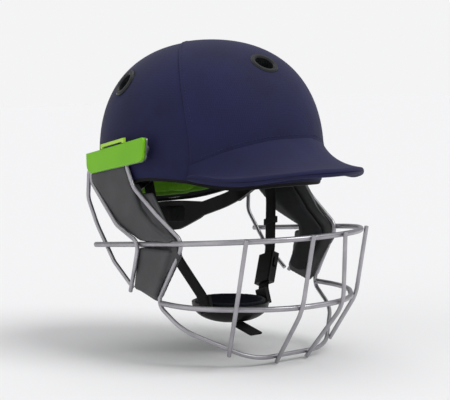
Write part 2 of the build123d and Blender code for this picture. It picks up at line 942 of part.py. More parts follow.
lower_panel_shares = ((0.112, 0.357), (0.412, 0.354), (0.262, 0.643), (0.064, 0.61))
cheek_corner = cheek_edge + cheek_edge


def pad_slab(table, start, wall, edge, corner):
    """A slab with a soft outer edge: shares of the guard's reach and drop make its outline."""
    outline = [(-along * guard_reach, -down * guard_drop) for along, down in table]
    with BuildPart() as slab:
        with BuildSketch(Plane.YZ.offset(start)):
            with BuildLine():
                FilletPolyline(*outline, radius=corner, close=True)
            make_face()
        extrude(amount=wall)
        fillet(slab.faces().sort_by(Axis.X)[-1].edges(), radius=edge)
    return slab.part


cheek_foam_outer = cheek_inner + cheek_foam_wall
core_start = cheek_foam_outer + glue_gap
core_end = core_start + cheek_core_wall
cheek_core = pad_slab(cheek_outline_shares, core_start, cheek_core_wall, cheek_edge, cheek_panel_edge)
upper_panel = pad_slab(
    upper_panel_shares, core_start, cheek_core_wall + cheek_panel_wall, cheek_panel_edge,
    cheek_panel_edge,
)
lower_panel = pad_slab(
    lower_panel_shares, core_start, cheek_core_wall + cheek_panel_wall, cheek_panel_edge,
    cheek_panel_edge,
)
groove = wire_diameter + cheek_groove_gap
side_top_bar = [top_bar_points[0], top_bar_points[1], top_bar_points[2]]
grooves = rod(side_top_bar, top_bar_bend, bar_diameter + cheek_groove_gap)
grooves = grooves + rod(frame_points[:7], frame_bends[:5], groove)
grooves = grooves + rod(rear_wire_points, rear_wire_bends, groove)
grooves = grooves + rod(loop_wire_points, loop_wire_bends, groove)
rim_room = dome(-running_gap - running_gap) - under_rim(-binding_height - cheek_rim_gap)
stud_room = side_plug(guide, stud_collar + running_gap + running_gap, cheek_inner, cover_inner)
cheek_pad = cheek_core + upper_panel + lower_panel
cheek_pad = cheek_pad - grooves - rim_room - stud_room
keep_pair(only_largest(cheek_pad), "cheek_pad")

cheek_foam = pad_slab(
    foam_outline_shares, -cheek_foam_outer, cheek_foam_wall, cheek_foam_edge, cheek_panel_edge
)
cheek_foam = mirrored(cheek_foam) - grooves - rim_room
keep_pair(only_largest(cheek_foam), "cheek_foam")


# Chin strap: its webbing lies in one slanted plane through both anchors
strap_length = hypot(strap_lean, strap_fall)
strap_up = Vector(0, strap_lean / strap_length, strap_fall / strap_length)
strap_out = Vector(0, -strap_fall / strap_length, strap_lean / strap_length)
strap_plane = Plane(origin=(0, *anchor), x_dir=(1, 0, 0), z_dir=strap_out)
strap_points = [
    (strap_spread, strap_top), (strap_spread, -strap_knee_drop),
    (strap_waist_spread, -strap_waist_drop), (strap_ear_spread, -strap_ear_drop),
    (strap_ear_spread, -strap_ear_drop - strap_ear_length),
]
strap_bends = [strap_bend, strap_bend, strap_ear_bend]


def webbing(points, bends):
    """A flat strap along a path in the strap's slanted plane."""
    with BuildPart() as strap:
        with BuildLine(strap_plane) as path:
            FilletPolyline(*points, radius=bends)
        section = Plane(origin=path.line @ 0, x_dir=strap_out, z_dir=path.line % 0)
        with BuildSketch(section):
            Rectangle(webbing_width, webbing_thickness)
        sweep()
    return strap.part


def strap_eye(part):
    """Cut the anchor's hole through a strap end."""
    hole = anchor_shank + running_gap + running_gap
    return part - side_plug(anchor, hole, overrun, shell_half_width)


near_strap = mirrored(strap_eye(webbing(strap_points, strap_bends)))
keep(near_strap, "right_strap")

lower_run = Vector(
    strap_ear_spread - strap_waist_spread, -strap_ear_drop + strap_waist_drop
).normalized()
buckle_t_share = (buckle_drop - strap_waist_drop) / (strap_ear_drop - strap_waist_drop)
buckle_x = strap_waist_spread + buckle_t_share * (strap_ear_spread - strap_waist_spread)
buckle_middle = Vector(buckle_x, -buckle_drop)


def on_strap(distance):
    """A place in the strap's plane, measured down the strap from the buckle's middle."""
    return buckle_middle + lower_run * distance


upper_end = on_strap(-buckle_socket_length / 2)
upper_strap = webbing(
    [strap_points[0], strap_points[1], strap_points[2], (upper_end.X, upper_end.Y)],
    [strap_bend, strap_bend],
)
keep(strap_eye(upper_strap), "left_upper_strap")
lower_start = on_strap(buckle_socket_length / 2 + buckle_body_length)
lower_strap = webbing(
    [(lower_start.X, lower_start.Y), strap_points[3], strap_points[4]], [strap_ear_bend]
)
keep(lower_strap, "left_lower_strap")


def strap_box(distance, length, width, thickness, aside=0):
    """A box on the strap: length along it, width across the webbing, thickness through it."""
    middle = strap_plane.from_local_coords(on_strap(distance))
    along = strap_plane.from_local_coords(lower_run) - strap_plane.origin
    plane = Plane(origin=middle + strap_out * aside, x_dir=strap_out, z_dir=along)
    with BuildPart() as box:
        with BuildSketch(plane.offset(-length / 2)):
            Rectangle(width, thickness)
        extrude(amount=length)
    return box.part


def soft_box(distance, length, width, thickness):
    """The same box with its long edges rounded by the buckle's wall."""
    box = strap_box(distance, length, width, thickness)
    along = strap_plane.from_local_coords(lower_run) - strap_plane.origin
    long_edges = box.edges().filter_by(Axis(origin=(0, 0, 0), direction=along))
    return fillet(long_edges, buckle_wall)


slot_width = webbing_width + running_gap + running_gap
slot_height = webbing_thickness + glue_gap + glue_gap
socket_cavity_width = buckle_width - buckle_wall - buckle_wall
socket_cavity_height = buckle_thickness - buckle_wall - buckle_wall
socket = soft_box(0, buckle_socket_length, buckle_width, buckle_thickness)
socket = socket - strap_box(
    buckle_wall, buckle_socket_length, socket_cavity_width, socket_cavity_height
)
socket = socket - strap_box(-buckle_socket_length / 2, buckle_socket_length, slot_width, slot_height)
window_height = release_tab_height + running_gap + running_gap
window_length = release_tab_length + running_gap + running_gap
socket = socket - strap_box(0, window_length, buckle_width + overrun, window_height)
keep(socket, "buckle_socket")

body_middle = (buckle_socket_length + buckle_body_length) / 2 + glue_gap
tongue_body = soft_box(body_middle, buckle_body_length - glue_gap, buckle_width, buckle_thickness)
insert_middle = (buckle_socket_length - buckle_insert_length) / 2 + glue_gap
tongue_body = tongue_body + strap_box(
    insert_middle, buckle_insert_length + glue_gap, buckle_insert_width,
    socket_cavity_height - running_gap,
)
tongue_body = tongue_body - strap_box(
    body_middle + buckle_body_length / 2, buckle_body_length, slot_width, slot_height
)
keep(tongue_body, "buckle_tongue")

tab_width = buckle_wall + release_tab_travel + release_tab_travel - running_gap
tab_aside = (buckle_width - buckle_wall) / 2 + running_gap
front_tab = strap_box(0, release_tab_length, tab_width, release_tab_height, tab_aside)
keep(front_tab, "front_release_tab")
keep(strap_box(0, release_tab_length, tab_width, release_tab_height, -tab_aside), "rear_release_tab")


# A loop that keeps the webbing's end, on the straight between the anchor and the waist
keeper_t_share = (keeper_drop - strap_knee_drop) / (strap_waist_drop - strap_knee_drop)
keeper_x = strap_spread + keeper_t_share * (strap_waist_spread - strap_spread)
keeper_run = Vector(
    strap_waist_spread - strap_spread, -strap_waist_drop + strap_knee_drop
).normalized()
keeper_plane = Plane(
    origin=strap_plane.from_local_coords(Vector(keeper_x, -keeper_drop)),
    x_dir=strap_out,
    z_dir=strap_plane.from_local_coords(keeper_run) - strap_plane.origin,
)
with BuildPart() as keeper:
    with BuildSketch(keeper_plane.offset(-keeper_length / 2)):
        keeper_width = webbing_width + keeper_wall + keeper_wall + running_gap + running_gap
        keeper_depth = webbing_thickness + keeper_wall + keeper_wall + running_gap + running_gap
        RectangleRounded(keeper_width, keeper_depth, keeper_wall)
        Rectangle(
            webbing_width + running_gap, webbing_thickness + running_gap, mode=Mode.SUBTRACT
        )
    extrude(amount=keeper_length)
keep(keeper.part, "strap_keeper")


# Strap anchors and the temple studs of the headband
def inner_stud(place, shank, head, head_thickness, head_face):
    """A stud from a round head inside the helmet out to the cloth."""
    skin = dome_half_width(*place) - shell_outer - stud_recess
    stud = side_plug(place, shank, head_face, skin)
    return stud + side_plug(place, head, head_face - head_thickness, head_face)


strap_inner_face = strap_spread - webbing_thickness / 2 - running_gap
arm_inner_face = arm_spread - arm_thickness / 2 - running_gap
keep(
    both_sides(
        inner_stud(anchor, anchor_shank, anchor_head, anchor_head_thickness, strap_inner_face)
    ),
    "strap_anchors",
)
keep(
    both_sides(inner_stud(temple, rivet_shank, rivet_head, rivet_head_thickness, arm_inner_face)),
    "temple_studs",
)


# Chin cup: a shallow bowl with two ears that the straps are sewn to
def bowl(inset):
    """A closed bowl, wide at the rim, whose skin lies inset inside the cup's outer face."""
    radius = cup_half_width - inset
    floor = -cup_rim_drop - cup_depth + inset
    rim = -cup_rim_drop + inset
    pull = cup_fullness_share * (rim - floor)
    with BuildPart() as solid:
        with BuildSketch(Plane.XZ):
            with BuildLine():
                Bezier(
                    (0, floor), (cup_fullness_share * radius, floor), (radius, rim - pull),
                    (radius, rim),
                )
                Polyline((radius, rim), (0, rim), (0, floor))
            make_face()
        revolve(axis=Axis.Z)
        scale(by=(1, (cup_half_length - inset) / radius, 1))
    return Pos(0, -cup_centre_ahead, 0) * solid.part


ear_drop = strap_ear_drop + strap_ear_length / 2
ear_gap = glue_gap + webbing_thickness / 2
with BuildPart() as ear:
    with BuildSketch(strap_plane.offset(-webbing_width / 2)):
        with Locations((strap_ear_spread - ear_gap - cup_ear_wall / 2, -ear_drop)):
            RectangleRounded(cup_ear_wall, strap_ear_length, cup_ear_wall / 3)
    extrude(amount=webbing_width)
cup = bowl(0) + both_sides(ear.part) - bowl(cup_wall)
keep(only_largest(cup), "chin_cup")
cup_liner = bowl(cup_wall + glue_gap) - bowl(cup_wall + glue_gap + cup_liner_wall)
keep(only_largest(cup_liner), "cup_liner")

# The webbing's loose tail below the cup
tail_ahead = tail_start_ahead - cup_centre_ahead
tail_floor = -cup_rim_drop - cup_depth - webbing_thickness
tail_plane = Plane(origin=(0, -tail_start_ahead, tail_floor), x_dir=(1, 0, 0), z_dir=(0, 0, 1))
tail_plane = tail_plane.rotated((tail_droop_degrees, 0, 0))
with BuildPart() as tail:
    with BuildSketch(tail_plane):
        with Locations((0, -tail_length / 2)):
            RectangleRounded(webbing_width, tail_length, webbing_thickness)
    extrude(amount=webbing_thickness)
keep(tail.part - bowl(-glue_gap), "strap_tail")


# Headband arms, turning on the temple studs
arm_slope_share = arm_fall / (arm_end + temple_ahead)
arm_tilt = degrees(atan2(arm_fall, arm_end + temple_ahead))
arm_length = hypot(arm_fall, arm_end + temple_ahead)
arm_run = Vector(0, arm_end + temple_ahead, -arm_fall).normalized()
arm_plane = Plane(origin=(0, *temple), x_dir=arm_run, z_dir=(1, 0, 0))
rivet_along = (rivet_behind + temple_ahead) * arm_length / (arm_end + temple_ahead)


def arm_level(behind):
    """Height of the arm's middle line at a distance behind the head's centre."""
    return temple_height - (behind + temple_ahead) * arm_slope_share


with BuildPart() as arm:
    with BuildSketch(arm_plane.offset(arm_spread - arm_thickness / 2)):
        with Locations((arm_length / 2, 0)):
            SlotCenterToCenter(arm_length, arm_width)
        Circle((rivet_shank + running_gap + running_gap) / 2, mode=Mode.SUBTRACT)
        with Locations((rivet_along - cradle_travel / 2, 0)):
            SlotCenterToCenter(
                cradle_travel, rivet_shank + running_gap + running_gap, mode=Mode.SUBTRACT
            )
    extrude(amount=arm_thickness)
keep_pair(arm.part, "headband_arm")

# Nape cradle, whose wings slide along the inside of the arms
wing_gap = running_gap + (arm_thickness + cradle_thickness) / 2
wing_spread = arm_spread - wing_gap
wing_front = arm_end - rail_overlap
cradle_plan = [
    (wing_spread, wing_front), (wing_spread, cradle_corner_behind),
    (cradle_rear_spread, cradle_reach),
]
cradle_plan = cradle_plan + [(-x, y) for x, y in reversed(cradle_plan)]
cradle_floor = -cradle_top - cradle_height


def cradle_band(wall):
    """A tall band of the given wall that follows the cradle's plan."""
    with BuildPart() as band:
        with BuildLine() as plan:
            FilletPolyline(*cradle_plan, radius=cradle_bend)
        with BuildSketch(Plane(origin=plan.line @ 0, x_dir=(1, 0, 0), z_dir=plan.line % 0)):
            Rectangle(wall, shell_half_length + shell_half_length)
        sweep()
    return band.part


half_band = arm_width / 2 * arm_length / (arm_end + temple_ahead)
with BuildPart() as cradle_side:
    with BuildSketch(Plane.YZ.offset(-shell_half_width)):
        with BuildLine():
            Polyline(
                (wing_front, arm_level(wing_front) + half_band),
                (cradle_cheek_behind, arm_level(cradle_cheek_behind) + half_band),
                (shell_half_length, -cradle_top), (shell_half_length, cradle_floor),
                (cradle_reach - cradle_thickness, cradle_floor),
                (cradle_cheek_behind + cradle_thickness, -cradle_top - cradle_cheek_height),
                (cradle_cheek_behind, arm_level(cradle_cheek_behind) - half_band),
                (wing_front, arm_level(wing_front) - half_band),
                close=True,
            )
        make_face()
    extrude(amount=shell_half_width + shell_half_width)


def sling_plug(diameter, start, end):
    """A round plug along X at the sliding rivet's place."""
    place = Vector(0, *temple) + arm_run * rivet_along
    return side_plug((place.Y, place.Z), diameter, start, end)


rivet_holes = both_sides(sling_plug(rivet_shank + glue_gap, overrun, arm_spread))
dial_plane = Plane(origin=(0, cradle_reach + cradle_thickness / 2, -dial_drop), z_dir=(0, 1, 0))
pinion_hole = plug(dial_plane, pinion_diameter + running_gap + running_gap, -overrun, overrun)
cradle = (cradle_band(cradle_thickness) & cradle_side.part) - rivet_holes - pinion_hole
keep(only_largest(cradle), "nape_cradle")
rivet_root = wing_spread - cradle_thickness / 2 - glue_gap
rivet_tip = arm_spread + arm_thickness / 2 + running_gap
rivet = sling_plug(rivet_head, rivet_root - rivet_head_thickness, rivet_root)
rivet = rivet + sling_plug(rivet_shank, rivet_root, rivet_tip)
rivet = rivet + sling_plug(rivet_head, rivet_tip, rivet_tip + rivet_head_thickness)
keep(both_sides(rivet), "cradle_rivets")

# Cushion on the cradle's inner face
cushion_middle = -cradle_top - cradle_height / 2
cushion_block = upright_block(
    Plane.XZ, (-cradle_pad_width / 2, cushion_middle - cradle_pad_height / 2),
    (cradle_pad_width / 2, cushion_middle + cradle_pad_height / 2), -shell_half_length, 0,
    cradle_pad_wall,
)
cushion_wall = cradle_thickness + cradle_pad_wall + cradle_pad_wall
cushion = (cradle_band(cushion_wall) - cradle_band(cradle_thickness + glue_gap)) & cushion_block
cushion = Part() + cushion.solids().sort_by(Axis.Y)[0]
keep(cushion, "cradle_cushion")

# Dial: its housing, and the knob with the pinion on its back
with BuildPart() as housing:
    with BuildSketch(dial_plane.offset(glue_gap)):
        RectangleRounded(housing_height, housing_width, housing_thickness)
        Circle((pinion_diameter + running_gap + running_gap) / 2, mode=Mode.SUBTRACT)
    extrude(amount=housing_thickness)
keep(housing.part, "dial_housing")
knob_start = glue_gap + housing_thickness + running_gap
with BuildPart() as knob:
    with BuildSketch(dial_plane.offset(knob_start)):
        Circle(dial_diameter / 2)
        with PolarLocations(dial_diameter / 2, dial_grips):
            Circle(dial_grip_width / 2, mode=Mode.SUBTRACT)
    extrude(amount=dial_thickness)
pinion = plug(dial_plane, pinion_diameter, -cradle_thickness, knob_start)
keep(knob.part + pinion, "dial_knob")
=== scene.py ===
"""Looks of a cricket helmet: cloth, padding, webbing, wires and plates on the CAD frame."""

import json
import logging
import math
from dataclasses import dataclass
from enum import Enum
from typing import Any, Callable, Iterable

import bmesh
import bpy
from mathutils import Matrix, Vector, kdtree


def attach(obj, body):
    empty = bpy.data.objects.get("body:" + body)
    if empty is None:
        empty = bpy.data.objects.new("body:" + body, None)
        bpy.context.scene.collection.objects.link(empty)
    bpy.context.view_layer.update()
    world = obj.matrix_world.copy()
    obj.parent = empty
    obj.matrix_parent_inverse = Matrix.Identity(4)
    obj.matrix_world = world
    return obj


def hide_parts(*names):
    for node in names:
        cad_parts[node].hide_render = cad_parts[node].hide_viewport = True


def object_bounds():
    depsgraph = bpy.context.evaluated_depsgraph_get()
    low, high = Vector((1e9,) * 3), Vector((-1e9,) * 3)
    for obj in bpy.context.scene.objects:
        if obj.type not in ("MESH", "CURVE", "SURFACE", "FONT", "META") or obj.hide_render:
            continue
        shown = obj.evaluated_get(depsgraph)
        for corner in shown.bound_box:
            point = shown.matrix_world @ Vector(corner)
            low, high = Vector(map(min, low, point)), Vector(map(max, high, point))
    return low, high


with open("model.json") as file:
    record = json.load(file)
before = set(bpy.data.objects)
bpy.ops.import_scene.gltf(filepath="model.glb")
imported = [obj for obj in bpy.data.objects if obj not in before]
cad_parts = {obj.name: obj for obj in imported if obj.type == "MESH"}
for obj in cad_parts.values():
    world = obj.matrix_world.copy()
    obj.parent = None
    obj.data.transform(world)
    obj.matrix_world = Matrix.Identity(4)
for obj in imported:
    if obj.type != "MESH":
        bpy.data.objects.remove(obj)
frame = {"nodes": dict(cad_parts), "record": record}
CAD_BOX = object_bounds()
LOG = logging.getLogger("helmet")
MM = 0.001
# A wave texture turns 20 radians a metre at scale 1, so this over a spacing gives its scale
WAVE_TURNS = math.tau / 20
FLOOR_GAP = 0.5
# The axes that a pad's channels are placed along
ACROSS, ALONG = 0, 1
# Where a drifting colour is fully its deep or its light tone, as shares of the noise
DEEP_END, LIGHT_END = 0.3, 0.7


class Side(Enum):
    """The wearer's sides, with the sign of X on each."""

    LEFT = 1
    RIGHT = -1

    @property
    def word(self) -> str:
        """The word that a node's name starts with."""
        return self.name.lower()


def hex_linear(code: str) -> tuple[float, float, float, float]:
    """Turn an sRGB hex colour to linear.

    Args:
        code: six hex digits after a hash sign.

    Returns:
        Linear red, green and blue with an alpha of one.
    """
    parts = [int(code[i:i + 2], 16) / 255 for i in (1, 3, 5)]
    linear = [c / 12.92 if c <= 0.04045 else ((c + 0.055) / 1.055) ** 2.4 for c in parts]
    return (linear[0], linear[1], linear[2], 1.0)


def add_node(
    tree: bpy.types.NodeTree,
    kind: str,
    settings: dict[str, Any] | None = None,
    values: dict[str | int, Any] | None = None,
    links: dict[str | int, bpy.types.NodeSocket] | None = None,
) -> bpy.types.Node:
    """Add one node.

    Args:
        tree: the node tree that gets it.
        kind: the node's type name.
        settings: attributes to set on the node.
        values: input sockets and their values.
        links: input sockets and the outputs that feed them.

    Returns:
        The new node.
    """
    node = tree.nodes.new(kind)
    for name, value in (settings or {}).items():
        setattr(node, name, value)
    for key, value in (values or {}).items():
        node.inputs[key].default_value = value
    for key, source in (links or {}).items():
        tree.links.new(source, node.inputs[key])
    return node


def ramp(
    tree: bpy.types.NodeTree, fac: bpy.types.NodeSocket, stops: list[tuple[float, str]]
) -> bpy.types.NodeSocket:
    """Colour a value.

    Args:
        tree: the node tree.
        fac: the value that is coloured.
        stops: places from 0 to 1 with their hex colours.

    Returns:
        The colour output.
    """
    node = add_node(tree, "ShaderNodeValToRGB", links={"Fac": fac})
    elements = node.color_ramp.elements
    for place, code in stops[2:]:
        elements.new(place).color = hex_linear(code)
    for element, (place, code) in zip(elements, sorted(stops)):
        element.position = place
        element.color = hex_linear(code)
    return node.outputs["Color"]


@dataclass(frozen=True)
class Finish:
    """What every finish has: a name, its two tones and its roughness."""

    name: str
    deep: str
    light: str
    roughness: float

    def start(self) -> tuple[bpy.types.Material, bpy.types.NodeTree, bpy.types.Node, Any]:
        """Make an empty material.

        Returns:
            The material, its tree, its shader and the object coordinates.
        """
        material = bpy.data.materials.new(self.name)
        material.use_nodes = True
        tree = material.node_tree
        tree.nodes.clear()
        shader = add_node(
            tree, "ShaderNodeBsdfPrincipled", values={"Roughness": self.roughness}
        )
        add_node(tree, "ShaderNodeOutputMaterial", links={"Surface": shader.outputs["BSDF"]})
        place = add_node(tree, "ShaderNodeTexCoord").outputs["Object"]
        return material, tree, shader, place

    def tone(self, tree: Any, shader: Any, place: Any, size: float, detail: float) -> None:
        """Drift the colour between the two tones.

        Args:
            tree: the node tree.
            shader: the shader that gets the colour.
            place: the coordinates.
            size: size of a patch, in metres.
            detail: octaves of the drift.
        """
        drift = add_node(
            tree, "ShaderNodeTexNoise", values={"Scale": 1 / size, "Detail": detail},
            links={"Vector": place},
        )
        stops = [(DEEP_END, self.deep), (LIGHT_END, self.light)]
        colour = ramp(tree, drift.outputs["Fac"], stops)
        tree.links.new(colour, shader.inputs["Base Color"])

    def relief(self, tree: Any, shader: Any, height: Any, depth: float, strength: float) -> None:
        """Raise a pattern.

        Args:
            tree: the node tree.
            shader: the shader whose normal is bent.
            height: the pattern.
            depth: its depth, in metres.
            strength: how strongly it shows.
        """
        bump = add_node(
            tree, "ShaderNodeBump", values={"Distance": depth, "Strength": strength},
            links={"Height": height},
        )
        tree.links.new(bump.outputs["Normal"], shader.inputs["Normal"])


@dataclass(frozen=True)
class WovenCloth(Finish):
    """Woven polyester, its threads seen as a fine grid and its nap as sheen at grazing angles."""

    thread: float = 1.5
    sheen: float = 0.06
    depth: float = 0.07
    patch: float = 40
    nap: float = 0.45
    gloss: float = 0.3
    slack: float = 0.6
    strength: float = 0.55
    octaves: float = 4
    slack_octaves: float = 1

    def material(self) -> bpy.types.Material:
        """Threads along all three axes, so that any face shows two of them.

        Returns:
            The cloth's material.
        """
        material, tree, shader, place = self.start()
        shader.inputs["Sheen Weight"].default_value = self.sheen
        shader.inputs["Sheen Roughness"].default_value = self.nap
        shader.inputs["Specular IOR Level"].default_value = self.gloss
        self.tone(tree, shader, place, self.patch * MM, self.octaves)
        weave = None
        for way in "XYZ":
            # The real thread is about 0.3 mm; it is drawn coarser so that a render shows it
            wave = add_node(
                tree, "ShaderNodeTexWave", {"bands_direction": way},
                {
                    "Scale": WAVE_TURNS / (self.thread * MM), "Distortion": self.slack,
                    "Detail": self.slack_octaves,
                },
                {"Vector": place},
            ).outputs["Fac"]
            if weave is None:
                weave = wave
            else:
                weave = add_node(
                    tree, "ShaderNodeMath", {"operation": "ADD"}, links={0: weave, 1: wave}
                ).outputs[0]
        self.relief(tree, shader, weave, self.depth * MM, self.strength)
        return material


@dataclass(frozen=True)
class MouldedPlastic(Finish):
    """Injection-moulded nylon or ABS: a spark-eroded grain from the mould under a soft gloss."""

    # The mould's grain is about 0.2 mm; it is drawn coarser so that a render shows it
    grain: float = 0.8
    depth: float = 0.03
    coat: float = 0.0
    gloss: float = 0.3
    coat_roughness: float = 0.15
    patch: float = 60
    strength: float = 0.4
    octaves: float = 2
    grain_octaves: float = 3

    def material(self) -> bpy.types.Material:
        """A fine grain and a slow drift of tone.

        Returns:
            The plastic's material.
        """
        material, tree, shader, place = self.start()
        shader.inputs["Specular IOR Level"].default_value = self.gloss
        shader.inputs["Coat Weight"].default_value = self.coat
        shader.inputs["Coat Roughness"].default_value = self.coat_roughness
        self.tone(tree, shader, place, self.patch * MM, self.octaves)
        grain = add_node(
            tree, "ShaderNodeTexNoise",
            values={"Scale": 1 / (self.grain * MM), "Detail": self.grain_octaves},
            links={"Vector": place},
        )
        self.relief(tree, shader, grain.outputs["Fac"], self.depth * MM, self.strength)
        return material


@dataclass(frozen=True)
class SatinWire(Finish):
    """Drawn steel wire under a satin coat: slightly patchy gloss and a faint orange-peel skin."""

    metallic: float = 1.0
    drift: float = 18
    patch: float = 9
    smoother: float = 0.08
    rougher: float = 0.1
    # The coat's orange peel is about 0.5 mm; it is drawn coarser so that a render shows it
    peel: float = 1.2
    depth: float = 0.03
    strength: float = 0.35
    octaves: float = 3
    rubbed_octaves: float = 4
    peel_octaves: float = 2

    def material(self) -> bpy.types.Material:
        """Patchy roughness and a faint orange-peel skin.

        Returns:
            The metal's material.
        """
        material, tree, shader, place = self.start()
        shader.inputs["Metallic"].default_value = self.metallic
        self.tone(tree, shader, place, self.drift * MM, self.octaves)
        rubbed = add_node(
            tree, "ShaderNodeTexNoise",
            values={"Scale": 1 / (self.patch * MM), "Detail": self.rubbed_octaves},
            links={"Vector": place},
        )
        spread = add_node(
            tree, "ShaderNodeMapRange",
            values={
                "To Min": self.roughness - self.smoother, "To Max": self.roughness + self.rougher,
            },
            links={"Value": rubbed.outputs["Fac"]},
        )
        tree.links.new(spread.outputs["Result"], shader.inputs["Roughness"])
        skin = add_node(
            tree, "ShaderNodeTexNoise",
            values={"Scale": 1 / (self.peel * MM), "Detail": self.peel_octaves},
            links={"Vector": place},
        )
        self.relief(tree, shader, skin.outputs["Fac"], self.depth * MM, self.strength)
        return material


@dataclass(frozen=True)
class ClosedFoam(Finish):
    """Press-moulded closed-cell foam: a smooth leathery skin with shallow pores."""

    # The skin's pores are under a millimetre; they are drawn coarser so that a render shows them
    pore: float = 2.2
    depth: float = 0.12
    gloss: float = 0.4
    patch: float = 25
    strength: float = 0.3
    octaves: float = 5

    def material(self) -> bpy.types.Material:
        """Pores from small cells, and lighter rubbed patches.

        Returns:
            The foam's material.
        """
        material, tree, shader, place = self.start()
        shader.inputs["Specular IOR Level"].default_value = self.gloss
        self.tone(tree, shader, place, self.patch * MM, self.octaves)
        cells = add_node(
            tree, "ShaderNodeTexVoronoi", {"feature": "F1"}, {"Scale": 1 / (self.pore * MM)},
            {"Vector": place},
        )
        self.relief(tree, shader, cells.outputs["Distance"], self.depth * MM, self.strength)
        return material


@dataclass(frozen=True)
class RibbedWebbing(Finish):
    """Woven nylon webbing: ribs across the strap, a chain of threads along each edge."""

    rib: float = 1.3
    thread_share: float = 1.4
    sheen: float = 0.04
    gloss: float = 0.2
    patch: float = 12
    slack: float = 0.3
    depth: float = 0.25
    strength: float = 0.8
    octaves: float = 3

    def material(self) -> bpy.types.Material:
        """Ribs that follow the strap's own UV map, in metres along and across it.

        Returns:
            The webbing's material.
        """
        material, tree, shader, place = self.start()
        shader.inputs["Sheen Weight"].default_value = self.sheen
        shader.inputs["Specular IOR Level"].default_value = self.gloss
        self.tone(tree, shader, place, self.patch * MM, self.octaves)
        strap = add_node(tree, "ShaderNodeUVMap", {"uv_map": "Strap"}).outputs["UV"]
        ribs = add_node(
            tree, "ShaderNodeTexWave", {"bands_direction": "X"},
            {"Scale": WAVE_TURNS / (self.rib * MM), "Distortion": self.slack},
            {"Vector": strap},
        ).outputs["Fac"]
        threads = add_node(
            tree, "ShaderNodeTexWave", {"bands_direction": "Y"},
            {
                "Scale": WAVE_TURNS / (self.rib * self.thread_share * MM),
                "Distortion": self.slack,
            },
            {"Vector": strap},
        ).outputs["Fac"]
        both = add_node(
            tree, "ShaderNodeMath", {"operation": "MULTIPLY"}, links={0: ribs, 1: threads}
        ).outputs[0]
        self.relief(tree, shader, both, self.depth * MM, self.strength)
        return material


# Every finish of the helmet, by the record's material slot
FINISHES: dict[str, Finish] = {
    # Woven over the shell: matt, flat in colour, with only a breath of sheen at the edges
    "navy_cloth": WovenCloth("navy woven polyester", "#15163a", "#1a1c46", 0.8),
    # Folded tape round the rim: nearly black, so that the rim reads as one thin line
    "black_binding": WovenCloth(
        "black edge tape", "#08080a", "#0e0e12", 0.85, thread=1.2, sheen=0.05
    ),
    # Moulded under the cloth: seen only at the cut edges
    "shell_plastic": MouldedPlastic("dark moulded ABS", "#17171f", "#1e1e28", 0.5),
    # Moulded rings: their bevels catch a grey line of light
    "vent_plastic": MouldedPlastic(
        "dark grey moulded nylon", "#1d1e20", "#27282b", 0.38, grain=1.0
    ),
    # Cloth laminated on foam: a dull lime in the helmet's own shade
    "liner_foam": WovenCloth(
        "lime lining cloth on foam", "#3d6a08", "#4b7a0a", 0.9, thread=1.4, sheen=0.1, depth=0.15
    ),
    # Brushed cloth on the pads: a little paler where its nap stands up
    "green_cloth": WovenCloth(
        "lime brushed pad cloth", "#4a7d0b", "#5b930f", 0.9, thread=1.6, sheen=0.15, depth=0.2
    ),
    # Turned heads: small bright discs
    "stud_steel": SatinWire("turned steel", "#9a9aa0", "#b4b4ba", 0.3),
    # Drawn wire under a satin coat: a soft pale streak along each wire
    "satin_wire": SatinWire(
        "satin coated steel wire", "#a09ea3", "#b6b4b9", 0.36, metallic=0.85
    ),
    # Pressed strip: brighter than the wires, with a clean edge
    "plate_steel": SatinWire("pressed steel strip", "#b0b0b6", "#c8c8ce", 0.28),
    # Moulded cover: a strong even green with a broad highlight
    "green_plastic": MouldedPlastic(
        "green moulded ABS", "#6bb400", "#7bc504", 0.34, grain=1.2, depth=0.02, coat=0.15
    ),
    # Moulded tab: the same plastic in a paler lime, glossier
    "lime_plastic": MouldedPlastic(
        "lime moulded ABS", "#a2d63a", "#b5e04a", 0.36, grain=1.2, depth=0.02, coat=0.4
    ),
    # Pressed in a hot mould: a smooth skin that shows its panels by their lit edges
    "grey_pad": ClosedFoam("grey press-moulded foam", "#38383a", "#464648", 0.4),
    # Cloth against the cheek: darker and duller than the moulded side
    "grey_foam": WovenCloth(
        "charcoal pad cloth", "#232325", "#2d2d30", 0.92, thread=1.4, sheen=0.1, depth=0.2
    ),
    # Woven nylon: black, with ribs that show only where light grazes them
    "black_webbing": RibbedWebbing("black nylon webbing", "#060607", "#0c0c0e", 0.7),
    # Moulded cup, cradle and buckle: black with a faint sheen on their rounded edges
    "black_plastic": MouldedPlastic("black moulded nylon", "#060607", "#0b0b0d", 0.42, grain=0.9),
    # Pad cloth inside the cup: ink blue, just apart from the black round it
    "cup_cloth": WovenCloth(
        "ink blue pad cloth", "#14151f", "#1c1e2c", 0.92, thread=1.3, sheen=0.1, depth=0.2
    ),
    # Pad cloth on the cradle: black and dull
    "black_cloth": WovenCloth(
        "black pad cloth", "#0e0e11", "#16161a", 0.92, thread=1.3, sheen=0.1, depth=0.2
    ),
    # Sewing threads: a shade over the cloth they hold, so that a seam reads as fine dots
    "thread": WovenCloth(
        "navy sewing thread", "#1c1e45", "#23264e", 0.7, thread=0.5, sheen=0.1
    ),
    "black_thread": WovenCloth(
        "grey sewing thread", "#1c1c1f", "#26262a", 0.7, thread=0.5, sheen=0.1
    ),
}

# Short ends of webbing that stay CAD nodes have no strap map, so they take the tape's finish
WEBBING_ENDS = ("strap_tail", "strap_keeper")


